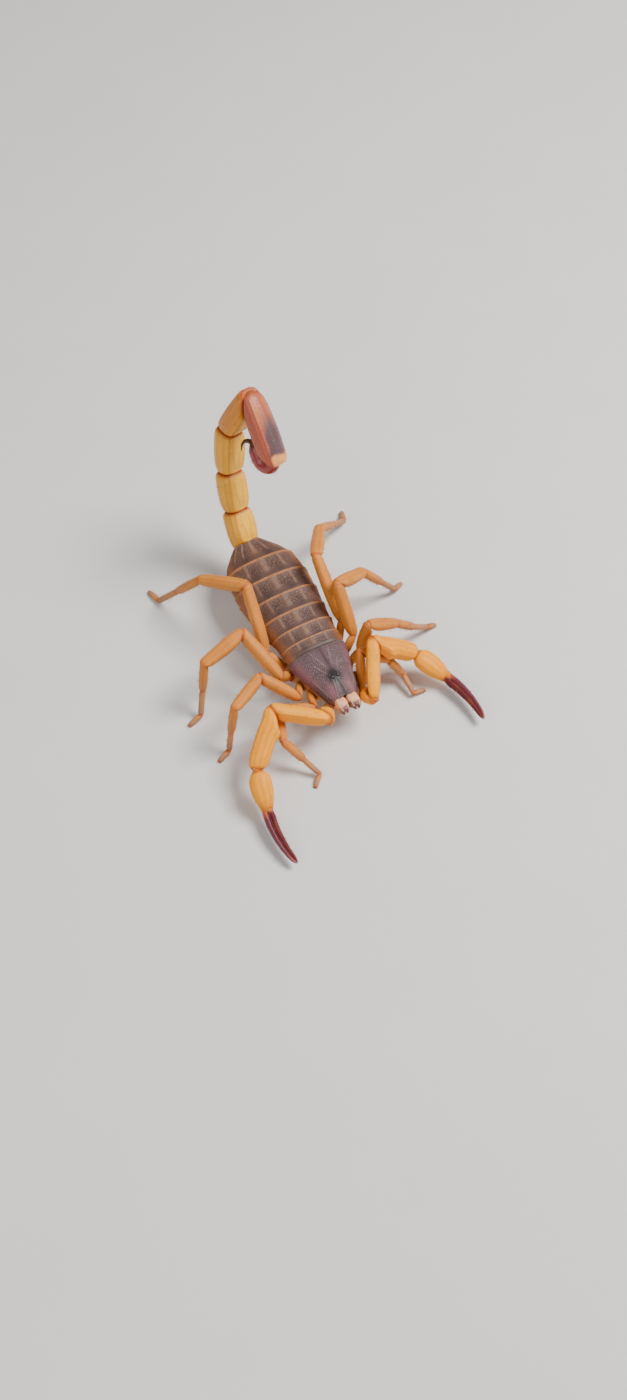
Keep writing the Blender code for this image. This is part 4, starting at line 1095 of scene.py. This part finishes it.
# The flesh between shield and coxae, the coxae, the breast plate and the genital lid.
def buildUnderside():
    flesh = loft(underPlan["flesh"], rows=60, around=64, power=2.6,
                 relief=keeled((), grain=0.03, grainPitch=0.35, seed=61))
    putPiece("headFlesh", flesh, "membrane", "shell_pale")
    coxaRelief = keeled(((-40, 0.06, 8), (-130, 0.05, 8)), 0.22, 0.025, 0.26, seed=62, mirrored=False)
    thickness = 2 * legPlan["coxaRadius"]
    for side, sign in sides.items():
        coxae = []
        for pair in (1, 2, 3, 4, "arm"):
            points, aims, _ = limbLine(side, pair)
            _, behind, height = armPlan["coxaRoot"] if pair == "arm" else legPlan["coxaRoots"][pair - 1]
            coxae.append(segment(np.array((sign * underPlan["coxaInner"], behind, height)), points[0],
                                 underPlan["coxa"], thickness, thickness, None, aims[0], rows=50, around=44,
                                 relief=coxaRelief))
        nodes = ("coxosternum",) if side == "left" else ()
        putPiece("coxae" + side.title(), coxae, "paleShell", "shell_pale", *nodes)
    parts = [loft(underPlan["plate"], rows=40, around=32, power=3.0)]
    for sign in (1, -1):
        lid = [((sign * x, y, z), *halves) for (x, y, z), *halves in underPlan["lid"]]
        parts.append(loft(lid, 30, 28, 2.6))
    putPiece("breastPlate", parts, "paleShell", "shell_pale")


buildUnderside()
print("head done")


trunkPlan = {
    # distance behind the front edge, half width above and below the side line, top, bottom
    "outline": ((8.35, 4.3, 3.9, 7.85, 5.2), (10.3, 4.45, 4.1, 7.95, 4.2), (12.6, 4.7, 4.2, 8.05, 2.9),
                (15.4, 5.05, 4.95, 8.15, 2.4), (18.6, 5.5, 5.4, 8.25, 2.3), (22.1, 5.7, 5.6, 8.3, 2.3),
                (25.7, 5.3, 5.15, 8.2, 2.45), (27.4, 4.5, 4.5, 8.0, 3.0), (28.7, 3.4, 3.4, 7.95, 3.9),
                (29.6, 2.4, 2.4, 7.95, 4.7), (30.0, 1.9, 1.9, 7.9, 5.05)),
    "edges": (8.5, 10.3, 12.6, 15.4, 18.6, 22.1, 25.7, 29.75),
    "power": 2.7, "sideLine": 5.5, "wall": 0.16, "tuck": 0.45, "lip": 0.13, "fleshInset": 0.3,
    "thinnest": 0.05, "bellyWall": 0.14, "bellyTuck": 0.35, "bellyFront": 11.0, "slitAcross": 2.9,
    # angle round the section, height, width in degrees
    "keels": ((90, 0.1, 2.2), (66, 0.07, 2.6), (114, 0.07, 2.6)),
    "lastKeels": ((90, 0.08, 2.2), (72, 0.1, 2.4), (108, 0.1, 2.4), (50, 0.1, 2.6), (130, 0.1, 2.6)),
    "beadPitch": 0.26, "edgePitch": 0.28, "grain": 0.045, "grainPitch": 0.3, "arcRadius": 5.0,
}


# A point of the trunk at a place behind the front and an angle round it: a superellipse whose upper and
# lower halves have their own widths and heights, and an outward offset.
def trunkSurface(behind, angles, offset):
    above, below, top, bottom = curvesThrough(trunkPlan["outline"], behind)
    sine, cosine = np.sin(angles), np.cos(angles)
    upperPart = smooth(-0.25, 0.25, sine)
    widths = below * (1 - upperPart) + above * upperPart
    line, reach = trunkPlan["sideLine"], 2 / trunkPlan["power"]
    heights = np.where(sine > 0, top - line, line - bottom)
    x = (widths + offset) * np.sign(cosine) * np.abs(cosine) ** reach
    z = line + (heights + offset) * np.sign(sine) * np.abs(sine) ** reach
    return np.stack(np.broadcast_arrays(x, behind, z), -1)


# Back plates overlap like shingles: each starts tucked under the one ahead and ends in a raised lip.
def buildBackPlate(number):
    rows, columns = 90, 190
    start, end = trunkPlan["edges"][number - 1:number + 1]
    share = np.linspace(0, 1, rows)[:, None]
    front = start - (trunkPlan["tuck"] if number > 1 else 0.0)
    behind = front + (end + 0.06 - front) * share
    along = behind - start
    angles = np.radians(np.linspace(6, 174, columns))[None, :]
    degrees = np.degrees(angles)
    base = -0.12 * smooth(0.24, 0.0, share) + trunkPlan["lip"] * smooth(0.55, 1.0, share) ** 2
    ridge = np.zeros((rows, columns))
    lift = base + ridge
    beads = beaded(along, trunkPlan["beadPitch"])
    for place, rise, width in trunkPlan["lastKeels" if number == 7 else "keels"]:
        fade = smooth(0.25, 0.5, share) * smooth(1.02, 0.9, share)
        away = degrees - 90 - (place - 90) * (1.0 - 0.1 * share)
        keel = bell(away, width) * fade * (0.4 + 0.6 * beads)
        lift += rise * keel
        ridge = np.maximum(ridge, keel)
    arc = angles * trunkPlan["arcRadius"]
    field = granules(arc, along, trunkPlan["grainPitch"], 70 + number)
    rough = smooth(0.2, 0.5, share)
    lift += trunkPlan["grain"] * field * rough
    ridge = np.maximum(ridge, 0.5 * field * rough)
    lift += 0.04 * bell(share - 0.985, 0.02) * beaded(arc, trunkPlan["edgePitch"])
    border = np.minimum(smooth(0, 0.05, share) * smooth(1.0, 0.96, share),
                        smooth(6, 11, degrees) * smooth(174, 169, degrees))
    thinnest = trunkPlan["thinnest"]
    inner = trunkSurface(behind, angles, base - thinnest - (trunkPlan["wall"] - thinnest) * border)
    marks = {"ridge": ridge, "ends": smooth(0.86, 0.97, share),
             "tone": 0.8 * smooth(0.6, 0.95, np.abs(np.cos(angles))),
             "stripe": 0.5 * bell(np.abs(degrees - 90) - 14, 7) * smooth(0.9, 0.5, share)}
    putPiece(f"backPlate{number}", shell(trunkSurface(behind, angles, lift), inner, marks), "trunkShell",
             "shell_trunk", f"mesosoma_{number}")


# The soft body between the plates, pleated along its sides.
def buildFlesh():
    behind = np.linspace(8.5, 29.8, 200)[:, None]
    angles = turns(160)[None, :]
    side = bell(np.sin(angles), 0.5)
    pleats = np.cos(2 * math.pi * behind / 0.42 + 0.8 * np.sin(3 * angles)) * 0.05
    creases = np.cos(2 * math.pi * np.sin(angles) * 5) * 0.05
    grid = trunkSurface(behind, angles, -trunkPlan["fleshInset"] + side * (pleats + creases))
    flesh = closedTube(grid, {"ridge": 0.4 * side * (0.5 + 10 * pleats)})
    putPiece("trunkFlesh", flesh, "membrane", "shell_pale")


# Belly plates, smooth, each with a pair of breathing slits on all but the last.
def buildBellyPlate(number):
    start, end = trunkPlan["edges"][number - 1:number + 1]
    start = max(start, trunkPlan["bellyFront"])
    tuck = trunkPlan["bellyTuck"]
    share = np.linspace(0, 1, 70)[:, None]
    behind = start - tuck + (end + 0.05 - start + tuck) * share
    angles = np.radians(np.linspace(206, 334, 120))[None, :]
    base = -0.1 * smooth(0.24, 0.0, share) + 0.1 * smooth(0.6, 1.0, share) ** 2
    slit = 0.0
    if number < 7:
        place = trunkSurface(behind, angles, 0.0)
        across = np.abs(place[..., 0]) - trunkPlan["slitAcross"]
        y = place[..., 1] - (start + (end - start) * 0.55)
        slit = bell(across + 0.3 * y, 0.5) * bell(y + 0.35 * across, 0.11)
    weak = bell(np.abs(np.degrees(angles) - 270) - 10, 1.5) * smooth(0.3, 0.6, share) * 0.03
    outer = trunkSurface(behind, angles, base + weak - 0.1 * slit)
    inner = trunkSurface(behind, angles, base - trunkPlan["bellyWall"])
    marks = {"stripe": slit, "ends": 0.6 * smooth(0.88, 0.97, share), "ridge": weak * 20}
    putPiece(f"bellyPlate{number}", shell(outer, inner, marks), "paleShell", "shell_pale")


for number in range(1, 8):
    buildBackPlate(number)
for number in range(3, 8):
    buildBellyPlate(number)
buildFlesh()

combPlan = {"inner": (0.7, 9.6, 2.25), "outer": (4.4, 12.3, 2.35), "depth": 1.5, "teeth": 22}


# A comb: a front rod, a row of small plates behind it, and soft rounded teeth along its rear edge.
def buildComb(side):
    mirror = np.array((sides[side], 1, 1))
    inner, outer = np.array(combPlan["inner"]) * mirror, np.array(combPlan["outer"]) * mirror
    aim = unit(outer - inner)
    rear = np.array((-aim[1], aim[0], 0.0)) * sides[side]
    parts = [loft([(inner - 0.3 * rear, 0.12, 0.16), (inner - 0.28 * rear + 0.3 * aim, 0.3, 0.26),
                   (inner * 0.4 + outer * 0.6 - 0.24 * rear, 0.26, 0.24), (outer - 0.05 * rear, 0.1, 0.12)],
                  50, 20)]
    for place in np.linspace(0.06, 0.97, combPlan["teeth"]):
        root = inner + (outer - inner) * place
        reach = combPlan["depth"] * (0.5 - 0.22 * smooth(0.6, 1.0, place))
        parts.append(egg(root + 0.06 * rear, 0.13, aim, 0.8, 7, 10, {"tone": 0.6}))
        parts.append(egg(root + (0.1 + reach * 0.62) * rear, 0.105, rear, reach * 4.2, 9, 10))
    putPiece("comb" + side.title(), parts, "combShell", "comb", "pectine_" + side)


for side in sides:
    buildComb(side)
print("trunk done")

# lengths and places of the stage are metres in the world
stageLook = {
    "floorSize": 3.0, "floorTone": (222, 219, 214), "floorShade": 0.94, "floorRough": 0.75,
    "floorCloud": 60.0,
    "key": {"at": (0.2, -0.06, 0.33), "size": 0.16, "power": 2.35},
    "fill": {"at": (-0.28, -0.1, 0.26), "size": 0.3, "power": 0.62},
    "sky": (236, 240, 246), "skyStrength": 0.38,
}
# degrees, and millimetres along the camera's own axes
shot = {"turn": -28.3, "tilt": 57.4, "distance": 204.3, "aside": -4.41, "above": 0.845, "height": 7.0,
        "lens": 86.12, "shiftUp": -0.016}


# An object in the scene, at a place in metres, turned to three axes. It looks against the last one.
def setUp(name, data, at, side, over, away):
    made = bpy.data.objects.new(name, data)
    scene.collection.objects.link(made)
    turned = Matrix(np.column_stack((side, over, away)).tolist())
    made.matrix_world = Matrix.Translation(at.tolist()) @ turned.to_4x4()
    return made


def buildStage():
    mesh = bpy.data.meshes.new("floor")
    half = stageLook["floorSize"] / 2
    corners = [(-half, -half, 0), (half, -half, 0), (half, half, 0), (-half, half, 0)]
    mesh.from_pydata(corners, [], [(0, 1, 2, 3)])
    floor = bpy.data.objects.new("floor", mesh)
    scene.collection.objects.link(floor)
    material, tree, shader = newMaterial("paleFloor")
    spot = tree.nodes.new("ShaderNodeTexCoord").outputs["Object"]
    pale = tint(*stageLook["floorTone"])
    darker = (*[share * stageLook["floorShade"] for share in pale[:3]], 1.0)
    clouds = noiseNode(tree, spot, stageLook["floorCloud"])
    feed(tree, shader["Base Color"], mixNode(tree, clouds, darker, pale))
    shader["Roughness"].default_value = stageLook["floorRough"]
    mesh.materials.append(material)

    world = bpy.data.worlds.new("studio")
    world.use_nodes = True
    glow = world.node_tree.nodes["Background"].inputs
    glow["Color"].default_value = tint(*stageLook["sky"])
    glow["Strength"].default_value = stageLook["skyStrength"]
    scene.world = world
    # each lamp looks at the origin
    for name in ("key", "fill"):
        look = stageLook[name]
        lamp = bpy.data.lights.new(name, "AREA")
        lamp.size = look["size"]
        lamp.energy = look["power"]
        at = np.array(look["at"])
        away = unit(at)
        side = unit(np.cross(up, away))
        setUp(name, lamp, at, side, np.cross(away, side), away)


def buildCamera():
    turn, tilt = math.radians(shot["turn"]), math.radians(shot["tilt"])
    rightward = np.array((math.cos(turn), math.sin(turn), 0.0))
    toward = np.array((math.sin(turn) * math.cos(tilt), -math.cos(turn) * math.cos(tilt), math.sin(tilt)))
    upward = np.cross(toward, rightward)
    centre = (shot["aside"] * rightward + shot["above"] * upward + shot["distance"] * toward
              + shot["height"] * up)
    data = bpy.data.cameras.new("camera")
    data.sensor_fit = "HORIZONTAL"
    data.sensor_width = 36.0
    data.lens = shot["lens"]
    data.shift_y = shot["shiftUp"]
    data.clip_start = 0.001
    scene.camera = setUp("camera", data, centre * mm + origin, rightward, upward, toward)


buildStage()
buildCamera()
